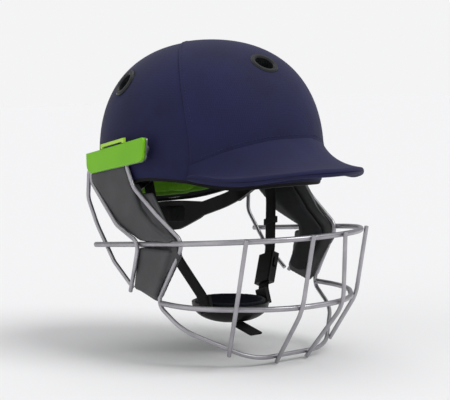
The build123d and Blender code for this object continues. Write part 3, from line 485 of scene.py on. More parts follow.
class Workshop:
    """Makes materials once and turns pieces into plain meshes that ride on their bodies."""

    def __init__(self) -> None:
        """Build each finish's material."""
        self.materials = {slot: finish.material() for slot, finish in FINISHES.items()}
        self.body_of = {
            node: body
            for body, nodes in frame["record"]["behaviour"]["bodies"].items()
            for node in nodes
        }
        self.slot_of = {
            row["node"]: row["material_slot"] for row in frame["record"]["subparts"]
        }

    def dress(self, piece: bpy.types.Object, finish: str) -> None:
        """Give a piece or CAD node one finish, by its name in FINISHES."""
        piece.data.materials.clear()
        piece.data.materials.append(self.materials[finish])

    def dress_nodes(self) -> None:
        """Give every CAD node the finish that the record names for it."""
        for name, slot in self.slot_of.items():
            finish = "black_binding" if name in WEBBING_ENDS else slot
            self.dress(frame["nodes"][name], finish)
        LOG.info("dressed %d CAD nodes", len(self.slot_of))

    def piece(self, name: str, mesh: bpy.types.Mesh) -> bpy.types.Object:
        """Put a mesh into the scene as a piece.

        Args:
            name: the piece's name.
            mesh: its mesh, whose faces are made smooth.

        Returns:
            The piece, linked to the scene.
        """
        mesh.name = name
        self.smooth(mesh)
        return self.link(name, mesh)

    def link(self, name: str, mesh: bpy.types.Mesh) -> bpy.types.Object:
        """Link a new object that holds a mesh, at the origin.

        Args:
            name: the object's name.
            mesh: its mesh.

        Returns:
            The object.
        """
        made = bpy.data.objects.new(name, mesh)
        bpy.context.scene.collection.objects.link(made)
        return made

    def smooth(self, mesh: bpy.types.Mesh) -> None:
        """Shade all faces of a mesh smooth."""
        mesh.polygons.foreach_set("use_smooth", [True] * len(mesh.polygons))

    def seat(
        self, made: bpy.types.Object, body: str, slot: str, finish: str | None = None
    ) -> bpy.types.Object:
        """Dress a piece, let it ride, and report it.

        Args:
            made: the finished piece.
            body: the CAD body that it rides on.
            slot: the record's material slot that it belongs to.
            finish: its finish, where that isn't the slot's.

        Returns:
            The piece.
        """
        self.dress(made, finish or slot)
        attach(made, body)
        LOG.info("%s: %d faces on %s", made.name, len(made.data.polygons), body)
        return made

    def bake(self, made: bpy.types.Object) -> bpy.types.Object:
        """Turn an object's modifiers into a plain mesh and take them off.

        Args:
            made: the object with its modifiers.

        Returns:
            The same object.
        """
        bpy.context.view_layer.update()
        shape = made.evaluated_get(bpy.context.evaluated_depsgraph_get())
        mesh = bpy.data.meshes.new_from_object(shape)
        made.modifiers.clear()
        made.data = mesh
        self.smooth(mesh)
        return made

    def lines(self, name: str, runs: Iterable[list[Vector]]) -> bpy.types.Object:
        """Make an object of bare points and edges.

        Args:
            name: the object's name.
            runs: lists of points, each joined in order; a run of one stays a point.

        Returns:
            The object, linked to the scene.
        """
        points: list[Vector] = []
        edges: list[tuple[int, int]] = []
        for run in runs:
            first = len(points)
            points.extend(run)
            edges.extend((i, i + 1) for i in range(first, len(points) - 1))
        mesh = bpy.data.meshes.new(name)
        mesh.from_pydata([tuple(p) for p in points], edges, [])
        return self.link(name, mesh)


def set_input(modifier: bpy.types.Modifier, name: str, value: Any) -> None:
    """Set a modifier's input by its socket's identifier.

    Args:
        modifier: the Geometry Nodes modifier.
        name: the input's name in the tree.
        value: the new value.
    """
    for item in modifier.node_group.interface.items_tree:
        if item.name == name and item.in_out == "INPUT":
            modifier[item.identifier] = value


@dataclass
class StitchMaker:
    """Geometry Nodes that lay stitches along lines and weld beads on points."""

    shop: Workshop
    # A stitch is repeated hundreds of times, so it has few faces
    stitch_segments: int = 6
    stitch_rings: int = 5
    bead_rounds: int = 3
    bead_unevenness: float = 0.15

    def __post_init__(self) -> None:
        """Build both trees."""
        self.stitch_tree = self.build_stitch_tree()
        self.bead_tree = self.build_bead_tree()

    def new_tree(self, name: str, inputs: dict[str, tuple[str, float]]) -> tuple[Any, Any, Any]:
        """Start a tree with a geometry input and output and named sizes.

        Args:
            name: the tree's name.
            inputs: each input's name with its socket type and value.

        Returns:
            The tree, its group input and its group output.
        """
        tree = bpy.data.node_groups.new(name, "GeometryNodeTree")
        tree.interface.new_socket("Geometry", in_out="INPUT", socket_type="NodeSocketGeometry")
        for label, (kind, value) in inputs.items():
            socket = tree.interface.new_socket(label, in_out="INPUT", socket_type=kind)
            socket.default_value = value
        tree.interface.new_socket("Material", in_out="INPUT", socket_type="NodeSocketMaterial")
        tree.interface.new_socket("Geometry", in_out="OUTPUT", socket_type="NodeSocketGeometry")
        return tree, add_node(tree, "NodeGroupInput"), add_node(tree, "NodeGroupOutput")

    def close_tree(self, tree: Any, given: Any, out: Any, instances: Any) -> None:
        """End a tree in Realize Instances and Set Material.

        Args:
            tree: the tree.
            given: its group input.
            out: its group output.
            instances: the output that holds the instances.
        """
        real = add_node(
            tree, "GeometryNodeRealizeInstances", links={"Geometry": instances}
        ).outputs["Geometry"]
        done = add_node(
            tree, "GeometryNodeSetMaterial",
            links={"Geometry": real, "Material": given.outputs["Material"]},
        ).outputs["Geometry"]
        tree.links.new(done, out.inputs["Geometry"])

    def build_stitch_tree(self) -> Any:
        """Stitches: long beads set along each line, a pitch apart.

        Returns:
            The tree.
        """
        tree, given, out = self.new_tree("Stitch row", {
            "Pitch": ("NodeSocketFloat", 3 * MM),
            "Length": ("NodeSocketFloat", 2 * MM),
            "Thickness": ("NodeSocketFloat", 0.7 * MM),
        })
        curve = add_node(
            tree, "GeometryNodeMeshToCurve", links={"Mesh": given.outputs["Geometry"]}
        ).outputs["Curve"]
        dots = add_node(
            tree, "GeometryNodeResampleCurve", {"mode": "LENGTH"},
            links={"Curve": curve, "Length": given.outputs["Pitch"]},
        ).outputs["Curve"]
        bead = add_node(
            tree, "GeometryNodeMeshUVSphere",
            values={
                "Segments": self.stitch_segments, "Rings": self.stitch_rings, "Radius": 0.5,
            },
        ).outputs["Mesh"]
        tangent = add_node(tree, "GeometryNodeInputTangent").outputs["Tangent"]
        turn = add_node(
            tree, "FunctionNodeAlignRotationToVector", {"axis": "X"}, links={"Vector": tangent}
        ).outputs["Rotation"]
        size = add_node(
            tree, "ShaderNodeCombineXYZ",
            links={
                "X": given.outputs["Length"], "Y": given.outputs["Thickness"],
                "Z": given.outputs["Thickness"],
            },
        ).outputs["Vector"]
        placed = add_node(
            tree, "GeometryNodeInstanceOnPoints",
            links={"Points": dots, "Instance": bead, "Rotation": turn, "Scale": size},
        ).outputs["Instances"]
        self.close_tree(tree, given, out, placed)
        return tree

    def build_bead_tree(self) -> Any:
        """Weld beads: slightly uneven balls on points.

        Returns:
            The tree.
        """
        tree, given, out = self.new_tree("Weld beads", {
            "Radius": ("NodeSocketFloat", 1.6 * MM),
            "Seed": ("NodeSocketInt", 7),
        })
        ball = add_node(
            tree, "GeometryNodeMeshIcoSphere",
            values={"Subdivisions": self.bead_rounds, "Radius": 1.0},
        ).outputs["Mesh"]
        # Inputs 2 and 3 are the least and the most of a float
        uneven = add_node(
            tree, "FunctionNodeRandomValue", {"data_type": "FLOAT"},
            {2: 1 - self.bead_unevenness, 3: 1 + self.bead_unevenness},
            {"Seed": given.outputs["Seed"]},
        )
        size = add_node(
            tree, "ShaderNodeMath", {"operation": "MULTIPLY"},
            links={0: uneven.outputs[1], 1: given.outputs["Radius"]},
        ).outputs[0]
        placed = add_node(
            tree, "GeometryNodeInstanceOnPoints",
            links={"Points": given.outputs["Geometry"], "Instance": ball, "Scale": size},
        ).outputs["Instances"]
        self.close_tree(tree, given, out, placed)
        return tree

    def run(self, made: bpy.types.Object, tree: Any, inputs: dict[str, Any]) -> bpy.types.Object:
        """Run a tree on an object and keep its result as a plain mesh.

        Args:
            made: the object with the lines or points.
            tree: the tree to run.
            inputs: the tree's inputs by name.

        Returns:
            The same object with the finished mesh.
        """
        modifier = made.modifiers.new("Nodes", "NODES")
        modifier.node_group = tree
        for name, value in inputs.items():
            set_input(modifier, name, value)
        return self.shop.bake(made)

    def stitch(
        self, name: str, runs: Iterable[list[Vector]], body: str, slot: str, thread: str,
        pitch: float = 3.2, length: float = 2.2, thickness: float = 0.6,
    ) -> bpy.types.Object:
        """Sew a row of stitches.

        Args:
            name: the piece's name.
            runs: the lines that it follows, in metres.
            body: the CAD body that it rides on.
            slot: the material slot that it belongs to.
            thread: the finish of the thread.
            pitch: distance between stitches, in millimetres.
            length: length of a stitch, in millimetres.
            thickness: thickness of the thread, in millimetres.

        Returns:
            The row as one piece.
        """
        made = self.shop.lines(name, runs)
        self.run(made, self.stitch_tree, {
            "Pitch": pitch * MM, "Length": length * MM, "Thickness": thickness * MM,
            "Material": self.shop.materials[thread],
        })
        return self.shop.seat(made, body, slot, thread)


@dataclass
class Dome:
    """The shell's rounded form, in millimetres: a curve swung round and stretched lengthwise."""

    half_length: float = 121
    half_width: float = 100
    equator: float = 26
    rise: float = 109.5
    fullness: float = 0.629
    skirt_drop: float = 52
    skirt_tuck: float = 4.5
    halvings: int = 40

    def profile(self, t: float) -> tuple[float, float]:
        """Follow the curve from crown to equator.

        Args:
            t: how far along, from 0 to 1.

        Returns:
            The share of the radius and the share of the rise.
        """
        left = 1 - t
        across = 3 * left * left * t * self.fullness + 3 * left * t * t + t ** 3
        up = left ** 3 + 3 * left * left * t + 3 * left * t * t * self.fullness
        return across, up

    def height(self, x: float, y: float, stand: float = 0) -> float:
        """Height of the dome over a place in plan, all in millimetres.

        Args:
            x: place across the head.
            y: place along the head.
            stand: how far the skin stands out from the cloth.

        Returns:
            The height.
        """
        share = math.hypot(x / (self.half_width + stand), y / (self.half_length + stand))
        place = self.search(lambda t: self.profile(t)[0] < share)
        return self.equator + (self.rise + stand) * self.profile(place)[1]

    def search(self, before: Callable[[float], bool]) -> float:
        """Find where a test along the curve stops holding, by halving.

        Args:
            before: a test that holds from the crown up to that place.

        Returns:
            The place, from 0 to 1.
        """
        low, high = 0.0, 1.0
        for _ in range(self.halvings):
            middle = (low + high) / 2
            if before(middle):
                low = middle
            else:
                high = middle
        return low

    def radius(self, height: float, stand: float = 0) -> float:
        """Half width at a height, all in millimetres.

        Args:
            height: the height over the origin.
            stand: how far the skin stands out from the cloth.

        Returns:
            The half width.
        """
        if height <= self.equator:
            fall = (self.equator - height) / self.skirt_drop
            return self.half_width + stand - self.skirt_tuck * fall
        over = height - self.equator
        place = self.search(lambda t: self.profile(t)[1] * (self.rise + stand) > over)
        return self.profile(place)[0] * (self.half_width + stand)

    def on_skin(self, x: float, z: float, stand: float = 0) -> Vector:
        """Find a place on the front of the skin.

        Args:
            x: place across the head, in millimetres.
            z: height, in millimetres.
            stand: how far the skin stands out from the cloth, in millimetres.

        Returns:
            The place, in metres.
        """
        stretch = self.half_length / self.half_width
        depth = math.sqrt(max(self.radius(z, stand) ** 2 - x * x, 0)) * stretch
        return Vector((x, -depth, z)) * MM


@dataclass
class HeadCover:
    """The navy cloth over shell and peak: the seams that hold it, in millimetres."""

    shop: Workshop
    maker: StitchMaker
    dome: Dome
    tongue_half: float = 81
    tongue_root: float = 71
    tongue_tip: float = 26
    root_pull: float = 25
    tip_pull: float = 12
    seam_half: float = 80.8
    seam_height: float = 42.5
    seam_fall: float = 20.9
    seam_power: float = 2.6
    seam_share: float = 0.93
    step: float = 1.0
    stitch_inset: float = 3.2
    stitch_rise: float = 0.1
    plan_limit_share: float = 0.995
    samples: int = 60

    def tongue_line(self, inset: float, lowest: float) -> list[Vector]:
        """The front panel's edge, from its left foot over the crown to its right foot.

        Args:
            inset: how far inside the edge the line runs, in millimetres.
            lowest: how low it starts, in millimetres.

        Returns:
            Points on the cloth, in metres.
        """
        half, tip = self.tongue_half - inset, self.tongue_tip - inset
        side: list[Vector] = []
        ends = (
            Vector((half, -self.tongue_root)), Vector((half, -self.tongue_root + self.root_pull)),
            Vector((self.tip_pull, tip)), Vector((0, tip)),
        )
        for i in range(self.samples + 1):
            t = i / self.samples
            weights = ((1 - t) ** 3, 3 * t * (1 - t) ** 2, 3 * t * t * (1 - t), t ** 3)
            spot = sum((end * weight for end, weight in zip(ends, weights)), Vector((0, 0)))
            edge = math.hypot(
                spot.x / (self.dome.half_width + self.step),
                spot.y / (self.dome.half_length + self.step),
            )
            if edge < self.plan_limit_share:
                level = self.dome.height(spot.x, spot.y, self.step)
                if level > lowest:
                    side.append(Vector((spot.x, spot.y, level + self.stitch_rise)) * MM)
        other = [Vector((-p.x, p.y, p.z)) for p in reversed(side)]
        return side + other[1:]

    def peak_seam_line(self, lift: float, stand: float) -> list[Vector]:
        """Run along the seam over the peak, on the front panel.

        Args:
            lift: how far over the seam the line runs, in millimetres.
            stand: how far the skin stands out from the cloth, in millimetres.

        Returns:
            Points on the cloth, in metres.
        """
        line = []
        for i in range(self.samples + 1):
            share = self.seam_share * (2 * i / self.samples - 1)
            level = self.seam_height - self.seam_fall * abs(share) ** self.seam_power + lift
            line.append(self.dome.on_skin(share * self.seam_half, level, stand))
        return line

    def build(self) -> None:
        """Sew the front panel's edge and the peak's seam."""
        self.maker.stitch(
            "front_panel_stitching",
            [self.tongue_line(self.stitch_inset, self.seam_height)],
            "helmet", "navy_cloth", "thread",
        )
        self.maker.stitch(
            "peak_seam_stitching",
            [self.peak_seam_line(self.stitch_inset, self.step)],
            "helmet", "navy_cloth", "thread",
        )


@dataclass
class SoftPad:
    """One soft piece that takes a CAD pad's place: remeshed, swollen by cloth, then channelled.

    Sizes are in millimetres, and a channel is an axis with the place where it is sewn.
    """

    node: str
    voxel: float = 3.0
    shrink: float = 0.9
    cap: float = 1.6
    pressure: float = 4.0
    relax: int = 4
    relax_share: float = 0.5
    channels: tuple[tuple[int, float], ...] = ()
    channel_depth: float = 1.2
    channel_width: float = 2.2
    fill: float = 0.7
    simulate: bool = True
    still_share: float = 0.7
    swell_frames: int = 14
    cloth_quality: int = 4
    weld_distance: float = 0.01
    finish: str | None = None

    def build(self, shop: Workshop) -> bpy.types.Object:
        """Make the piece.

        Args:
            shop: the workshop that seats it.

        Returns:
            The piece, riding on the node's body.
        """
        made = shop.piece(f"{self.node}_soft", frame["nodes"][self.node].data.copy())
        self.weld(made)
        self.remesh(made, shop)
        start = [v.co.copy() for v in made.data.vertices]
        self.slide_along_normals(made, -self.shrink * MM)
        if self.simulate:
            self.swell(made, shop)
        else:
            self.slide_along_normals(made, self.shrink * self.still_share * MM)
        self.keep_near(made, start)
        self.press_channels(made)
        subdivide = made.modifiers.new("Smooth", "SUBSURF")
        subdivide.levels = subdivide.render_levels = 1
        shop.bake(made)
        slot = shop.slot_of[self.node]
        shop.seat(made, shop.body_of[self.node], slot, self.finish)
        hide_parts(self.node)
        return made

    def weld(self, made: bpy.types.Object) -> None:
        """Join the doubled corners of the loose CAD triangles.

        Args:
            made: the piece.
        """
        work = bmesh.new()
        work.from_mesh(made.data)
        bmesh.ops.remove_doubles(work, verts=work.verts, dist=self.weld_distance * MM)
        work.to_mesh(made.data)
        work.free()

    def remesh(self, made: bpy.types.Object, shop: Workshop) -> None:
        """Give the piece an even skin with softened edges.

        Args:
            made: the piece.
            shop: the workshop that bakes it.
        """
        grid = made.modifiers.new("Grid", "REMESH")
        grid.mode = "VOXEL"
        grid.voxel_size = self.voxel * MM
        ease = made.modifiers.new("Ease", "SMOOTH")
        ease.factor = self.relax_share
        ease.iterations = self.relax
        shop.bake(made)

    def slide_along_normals(self, made: bpy.types.Object, amount: float) -> None:
        """Move every vertex along its normal.

        Args:
            made: the piece.
            amount: how far, in metres.
        """
        for vertex, normal in self.with_normals(made):
            vertex.co = vertex.co + normal * amount
        made.data.update()

    def with_normals(self, made: bpy.types.Object) -> list[tuple[Any, Vector]]:
        """Pair each vertex with its normal, read before any vertex moves.

        Args:
            made: the piece.

        Returns:
            The vertices with their normals.
        """
        return list(zip(made.data.vertices, [v.normal.copy() for v in made.data.vertices]))

    def swell(self, made: bpy.types.Object, shop: Workshop) -> None:
        """Blow the skin up as cloth under pressure.

        Args:
            made: the piece.
            shop: the workshop that bakes it.
        """
        cloth = made.modifiers.new("Cloth", "CLOTH")
        settings = cloth.settings
        settings.use_pressure = True
        settings.uniform_pressure_force = self.pressure
        settings.effector_weights.gravity = 0
        settings.quality = self.cloth_quality
        scene = bpy.context.scene
        for step in range(1, self.swell_frames + 1):
            scene.frame_set(step)
        shop.bake(made)
        scene.frame_set(1)

    def keep_near(self, made: bpy.types.Object, start: list[Vector]) -> None:
        """Cap how far each vertex stands from the eased CAD form, so that neighbours stay clear.

        Args:
            made: the piece.
            start: the eased form's vertices.
        """
        for (vertex, normal), home in zip(self.with_normals(made), start):
            move = vertex.co - home
            if move.dot(normal) > 0:
                vertex.co = home
            elif move.length > self.cap * MM:
                vertex.co = home + move * (self.cap * MM / move.length)
        made.data.update()

    def press_channels(self, made: bpy.types.Object) -> None:
        """Press sewn channels into the skin where a coordinate meets each line.

        Args:
            made: the piece.
        """
        for vertex, normal in self.with_normals(made):
            for axis, value in self.channels:
                off = (vertex.co[axis] / MM - value) / self.channel_width
                push = self.channel_depth * math.exp(-off * off) * MM
                vertex.co = vertex.co - normal * push
        made.data.update()


@dataclass
class Padding:
    """The comfort pads inside the shell, the cheek pads, and the cushions of cup and cradle."""

    shop: Workshop

    def build(self) -> None:
        """Make every soft pad."""
        pads = [
            SoftPad("brow_pad", channels=((ACROSS, -20), (ACROSS, 20))),
            SoftPad("nape_pad", channels=((ACROSS, -24), (ACROSS, 0), (ACROSS, 24))),
            SoftPad("crown_pad", channels=((ACROSS, 0), (ALONG, 0))),
            SoftPad("left_side_pad", channels=((ALONG, -8),)),
            SoftPad("right_side_pad", channels=((ALONG, -8),)),
            SoftPad("foam_liner", voxel=3.5, shrink=0.1, cap=0.4, simulate=False, fill=1.0),
            SoftPad(
                "cradle_cushion", voxel=2.5,
                channels=((ACROSS, -18), (ACROSS, 0), (ACROSS, 18)), finish="black_cloth",
            ),
            SoftPad("cup_liner", voxel=1.6, shrink=0.3, cap=0.6, simulate=False, fill=0.8),
        ]
        for side in Side:
            pads.append(SoftPad(f"{side.word}_cheek_foam", voxel=2.6, shrink=1.0, cap=1.4))
            pads.append(SoftPad(
                f"{side.word}_cheek_pad", voxel=1.3, shrink=0.15, cap=0.4, relax=5,
                simulate=False, fill=1.0,
            ))
        for pad in pads:
            pad.build(self.shop)


@dataclass
class Strap:
    """One run of flat webbing, given in its plane in millimetres."""

    node: str
    side: Side
    points: list[tuple[float, float]]
    bends: list[float]
    width: float = 15
    thickness: float = 1.5
    bend_steps: int = 12
    spacing: float = 3
    # The middle of a rounded selvedge corner, as shares of its radius
    corner_in_share: float = 0.3
    corner_up_share: float = 0.7

    def section(self) -> list[tuple[float, float]]:
        """Outline the webbing's section: across its width, then through its thickness.

        Returns:
            Points round the section.
        """
        half_w, half_t = self.width / 2, self.thickness / 2
        corner_in, corner_up = half_t * self.corner_in_share, half_t * self.corner_up_share
        face = [
            (half_w, 0), (half_w - corner_in, corner_up), (half_w - half_t, half_t),
            (half_w / 2, half_t), (0, half_t), (-half_w / 2, half_t),
            (half_t - half_w, half_t), (corner_in - half_w, corner_up),
        ]
        return face + [(-wide, -thick) for wide, thick in face]

    def path(self) -> list[Vector]:
        """Round the corners and divide the run.

        Returns:
            Points in the strap's plane.
        """
        corners = [Vector(p) for p in self.points]
        line = [corners[0]]
        for before, corner, after, bend in zip(corners, corners[1:], corners[2:], self.bends):
            back, ahead = (before - corner).normalized(), (after - corner).normalized()
            half = back.angle(ahead) / 2
            reach = bend / math.tan(half)
            start, end = corner + back * reach, corner + ahead * reach
            for i in range(self.bend_steps + 1):
                t = i / self.bend_steps
                line.append(start * (1 - t) ** 2 + corner * 2 * t * (1 - t) + end * t * t)
        line.append(corners[-1])
        even = [line[0]]
        for a, b in zip(line, line[1:]):
            pieces = max(1, round((b - a).length / self.spacing))
            even.extend(a.lerp(b, (i + 1) / pieces) for i in range(pieces))
        return even


@dataclass
class ChinStrap:
    """The webbing of the chin strap with its sewn ends, in millimetres."""

    shop: Workshop
    maker: StitchMaker
    anchor: tuple[float, float, float] = (0, 8, 24)
    lean: float = 41
    fall: float = 136
    top: float = 9
    spread: float = 74.4
    knee: float = 45
    waist_spread: float = 58
    waist: float = 100
    ear_spread: float = 38.5
    ear: float = 138
    ear_length: float = 16
    bend: float = 60
    ear_bend: float = 14
    buckle_drop: float = 115
    socket_length: float = 21
    tongue_length: float = 10
    sewn_steps: int = 4
    sewn_inset: float = 2.5
    stitch_rise: float = 0.15
    stitch_pitch: float = 2.2
    stitch_length: float = 1.6
    stitch_thickness: float = 0.5

    def __post_init__(self) -> None:
        """Work out the strap's slanted plane."""
        length = math.hypot(self.lean, self.fall)
        self.up = Vector((0, self.lean / length, self.fall / length))
        self.out = Vector((0, -self.fall / length, self.lean / length))

    def world(self, spot: Vector, side: Side) -> Vector:
        """A place in the strap's plane as a place in the helmet, in metres."""
        base = Vector(self.anchor) + self.up * spot.y
        return Vector((spot.x * side.value, base.y, base.z)) * MM

    def ribbon(self, strap: Strap) -> bpy.types.Object:
        """Build the webbing as a ribbon with rounded selvedges.

        Args:
            strap: the run of webbing.

        Returns:
            The piece, dressed and riding.
        """
        line = strap.path()
        section = strap.section()
        work = bmesh.new()
        strap_map = work.loops.layers.uv.new("Strap")
        rings, runs, travelled = [], [], 0.0
        for i, spot in enumerate(line):
            tangent = (line[min(i + 1, len(line) - 1)] - line[max(i - 1, 0)]).normalized()
            across = Vector((-tangent.y, tangent.x))
            if i:
                travelled += (spot - line[i - 1]).length
            ring = []
            for wide, thick in section:
                place = self.world(spot + across * thick, strap.side)
                ring.append(work.verts.new(place + self.out * wide * MM))
            rings.append(ring)
            runs.append(travelled * MM)
        count = len(section)
        for i in range(len(rings) - 1):
            for j in range(count):
                k = (j + 1) % count
                spots = ((i, j), (i, k), (i + 1, k), (i + 1, j))
                face = work.faces.new([rings[row][column] for row, column in spots])
                for loop, (row, column) in zip(face.loops, spots):
                    loop[strap_map].uv = (runs[row], section[column][0] * MM)
        work.faces.new(rings[0][::-1])
        work.faces.new(rings[-1])
        bmesh.ops.recalc_face_normals(work, faces=work.faces)
        mesh = bpy.data.meshes.new(strap.node)
        work.to_mesh(mesh)
        work.free()
        made = self.shop.piece(f"{strap.node}_webbing", mesh)
        self.shop.seat(made, "chin_strap", "black_webbing")
        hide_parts(strap.node)
        self.sew_end(strap, line)
        return made

    def sew_end(self, strap: Strap, line: list[Vector]) -> None:
        """Sew a box of stitches, with one across it, on the webbing's last stretch.

        Args:
            strap: the run of webbing.
            line: its path in its own plane.
        """
        face = strap.thickness / 2 + self.stitch_rise
        half = strap.width / 2 - self.sewn_inset
        corners = []
        end = len(line) - 2
        start = max(end - self.sewn_steps, 1)
        for index, wide in ((start, -half), (start, half), (end, half), (end, -half)):
            spot = line[index]
            tangent = (line[index + 1] - line[index - 1]).normalized()
            across = Vector((-tangent.y, tangent.x))
            if across.x < 0:
                across = -across
            place = self.world(spot + across * face, strap.side)
            corners.append(place + self.out * wide * MM)
        self.maker.stitch(
            f"{strap.node}_stitching", [corners + corners[:1], [corners[0], corners[2]]],
            "chin_strap", "black_webbing", "black_thread",
            self.stitch_pitch, self.stitch_length, self.stitch_thickness,
        )

    def build(self) -> None:
        """Make the three runs of webbing."""
        high = [
            (self.spread, self.top), (self.spread, -self.knee), (self.waist_spread, -self.waist),
        ]
        low = [(self.ear_spread, -self.ear), (self.ear_spread, -self.ear - self.ear_length)]
        run = (Vector(low[0]) - Vector(high[2])).normalized()
        share = (self.buckle_drop - self.waist) / (self.ear - self.waist)
        middle = Vector(high[2]).lerp(Vector(low[0]), share)
        upper_end = middle - run * self.socket_length / 2
        lower_start = middle + run * (self.socket_length / 2 + self.tongue_length)
        self.ribbon(Strap(
            "right_strap", Side.RIGHT, high + low, [self.bend, self.bend, self.ear_bend]
        ))
        self.ribbon(Strap(
            "left_upper_strap", Side.LEFT, high + [tuple(upper_end)], [self.bend, self.bend]
        ))
        self.ribbon(Strap(
            "left_lower_strap", Side.LEFT, [tuple(lower_start)] + low, [self.ear_bend]
        ))


@dataclass
class Faceguard:
    """The welded grille: its weld beads, found where two wires meet, in millimetres."""

    shop: Workshop
    maker: StitchMaker
    near: float = 0.9
    bead: float = 1.5
    group: float = 6.0

    def meeting_places(self, one: str, other: str) -> list[Vector]:
        """Find where two wires come closest.

        Args:
            one: a wire's node.
            other: the other wire's node.

        Returns:
            One place for each meeting, in metres.
        """
        first = frame["nodes"][one].data.vertices
        second = frame["nodes"][other].data.vertices
        tree = kdtree.KDTree(len(first))
        for i, vertex in enumerate(first):
            tree.insert(vertex.co, i)
        tree.balance()
        close = []
        for vertex in second:
            spot, _, gap = tree.find(vertex.co)
            if gap < self.near * MM:
                close.append((gap, (spot + vertex.co) / 2))
        places: list[Vector] = []
        for _, spot in sorted(close, key=lambda row: row[0]):
            if all((spot - place).length > self.group * MM for place in places):
                places.append(spot)
        return places

    def build(self) -> None:
        """Put a bead at every weld of the grille."""
        bars = ["top_bar", "mid_bar", "frame_wire"]
        wires = [
            f"{side.word}_{name}" for side in Side
            for name in ("rear_wire", "loop_wire", "outer_upright", "inner_upright")
        ]
        pairs = [(bar, wire) for bar in bars for wire in wires]
        pairs += [("top_bar", "frame_wire"), ("mid_bar", "frame_wire")]
        pairs += [(f"{s.word}_rear_wire", f"{s.word}_loop_wire") for s in Side]
        places = [spot for pair in pairs for spot in self.meeting_places(*pair)]
        LOG.info("%d welds", len(places))
        if not places:
            return
        made = self.shop.lines("guard_welds", [[spot] for spot in places])
        self.maker.run(made, self.maker.bead_tree, {
            "Radius": self.bead * MM, "Material": self.shop.materials["satin_wire"],
        })
        self.shop.seat(made, "faceguard", "satin_wire")


@dataclass(frozen=True)
class SoftLight:
    """A broad, even light: where it comes from, how wide it looks, and its power."""

    name: str
    azimuth: float
    elevation: float
    breadth: float
    power: float

    def hang(self, distance: float) -> None:
        """Shine the light on the helmet, as from a large far soft box.

        Args:
            distance: how far off its lamp stands, in metres, which changes nothing in its light.
        """
        az, el = math.radians(self.azimuth), math.radians(self.elevation)
        way = Vector((math.sin(az) * math.cos(el), -math.cos(az) * math.cos(el), math.sin(el)))
        glow = bpy.data.lights.new(self.name, "SUN")
        glow.angle = math.radians(self.breadth)
        glow.energy = self.power
        lamp = bpy.data.objects.new(self.name, glow)
        lamp.location = way * distance
        lamp.rotation_mode = "QUATERNION"
        lamp.rotation_quaternion = way.to_track_quat("Z", "Y")
        bpy.context.scene.collection.objects.link(lamp)


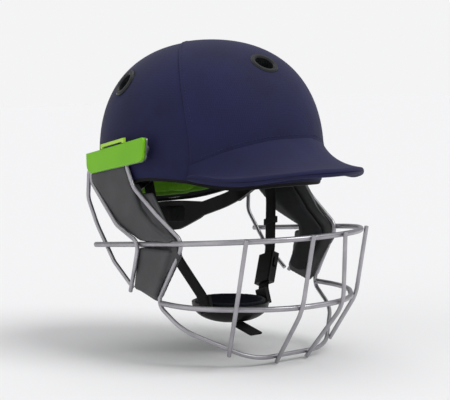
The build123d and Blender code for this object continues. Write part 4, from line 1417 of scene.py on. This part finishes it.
@dataclass
class Studio:
    """The pale floor, the soft lights and the camera at the photograph's place.

    Angles are in degrees, and the camera's places in millimetres from the origin.
    """

    focal_px: float = 1451.1526
    width_px: float = 450
    azimuth: float = -39.54865
    elevation: float = 4.83687
    roll: float = -1.15123
    distance: float = 1421.5277
    slide_x: float = -14.37273
    slide_y: float = 20.07031
    backdrop: str = "#f4f4f5"
    floor_tone: str = "#eeeeef"
    ambient: float = 0.45
    sensor_mm: float = 36
    nearest: float = 0.05
    farthest: float = 50
    floor_half: float = 12
    floor_roughness: float = 0.9
    lamp_distance: float = 1.6
    lights: tuple[SoftLight, ...] = (
        SoftLight("Key", 25, 52, 35, 1.6),
        SoftLight("Fill", -95, 25, 60, 0.5),
        SoftLight("Top", 150, 75, 50, 0.6),
    )

    def camera(self) -> None:
        """Set the camera at the place that the photograph was taken from."""
        az, el, roll = (math.radians(a) for a in (self.azimuth, self.elevation, self.roll))
        back = Vector((math.sin(az) * math.cos(el), -math.cos(az) * math.cos(el), math.sin(el)))
        right = Vector((math.cos(az), math.sin(az), 0))
        up = back.cross(right)
        turned_right = right * math.cos(roll) + up * math.sin(roll)
        turned_up = up * math.cos(roll) - right * math.sin(roll)
        place = (
            back * self.distance - turned_right * self.slide_x - turned_up * self.slide_y
        ) * MM
        turn = Matrix((turned_right, turned_up, back)).transposed()
        lens = bpy.data.cameras.new("Camera")
        lens.sensor_fit = "HORIZONTAL"
        lens.sensor_width = self.sensor_mm
        lens.lens = self.focal_px * self.sensor_mm / self.width_px
        lens.clip_start, lens.clip_end = self.nearest, self.farthest
        eye = bpy.data.objects.new("Camera", lens)
        eye.matrix_world = Matrix.Translation(place) @ turn.to_4x4()
        bpy.context.scene.collection.objects.link(eye)
        bpy.context.scene.camera = eye

    def floor(self, shop: Workshop, level: float) -> None:
        """Lay the pale floor.

        Args:
            shop: the workshop that links it.
            level: its height, in metres.
        """
        material = bpy.data.materials.new("pale studio floor")
        material.use_nodes = True
        tree = material.node_tree
        tree.nodes.clear()
        shader = add_node(
            tree, "ShaderNodeBsdfPrincipled",
            values={
                "Base Color": hex_linear(self.floor_tone), "Roughness": self.floor_roughness,
                "Specular IOR Level": 0.0,
            },
        )
        add_node(tree, "ShaderNodeOutputMaterial", links={"Surface": shader.outputs["BSDF"]})
        work = bmesh.new()
        bmesh.ops.create_grid(work, x_segments=1, y_segments=1, size=self.floor_half)
        bmesh.ops.translate(work, verts=work.verts, vec=(0, 0, level))
        mesh = bpy.data.meshes.new("floor")
        work.to_mesh(mesh)
        work.free()
        plane = shop.piece("floor", mesh)
        plane.data.materials.append(material)

    def build(self, shop: Workshop, level: float) -> None:
        """Set up the whole studio.

        Args:
            shop: the workshop that links the floor.
            level: the floor's height, in metres.
        """
        world = bpy.data.worlds.new("Studio")
        world.use_nodes = True
        tree = world.node_tree
        backdrop = tree.nodes["Background"]
        backdrop.inputs["Color"].default_value = hex_linear(self.backdrop)
        # The backdrop looks as pale as the lit floor, while its own light on the helmet is weaker
        seen = add_node(tree, "ShaderNodeLightPath").outputs["Is Camera Ray"]
        strength = add_node(
            tree, "ShaderNodeMapRange", values={"To Min": self.ambient, "To Max": 1.0},
            links={"Value": seen},
        )
        tree.links.new(strength.outputs["Result"], backdrop.inputs["Strength"])
        bpy.context.scene.world = world
        bpy.context.scene.view_settings.view_transform = "Standard"
        self.floor(shop, level)
        for light in self.lights:
            light.hang(self.lamp_distance)
        self.camera()


def main() -> None:
    """Build the helmet's looks in order."""
    logging.basicConfig(level=logging.INFO, format="%(name)s: %(message)s")
    shop = Workshop()
    shop.dress_nodes()
    maker = StitchMaker(shop)
    HeadCover(shop, maker, Dome()).build()
    Padding(shop).build()
    ChinStrap(shop, maker).build()
    Faceguard(shop, maker).build()
    low, _ = CAD_BOX
    Studio().build(shop, low.z - FLOOR_GAP * MM)


if __name__ == "__main__":
    main()
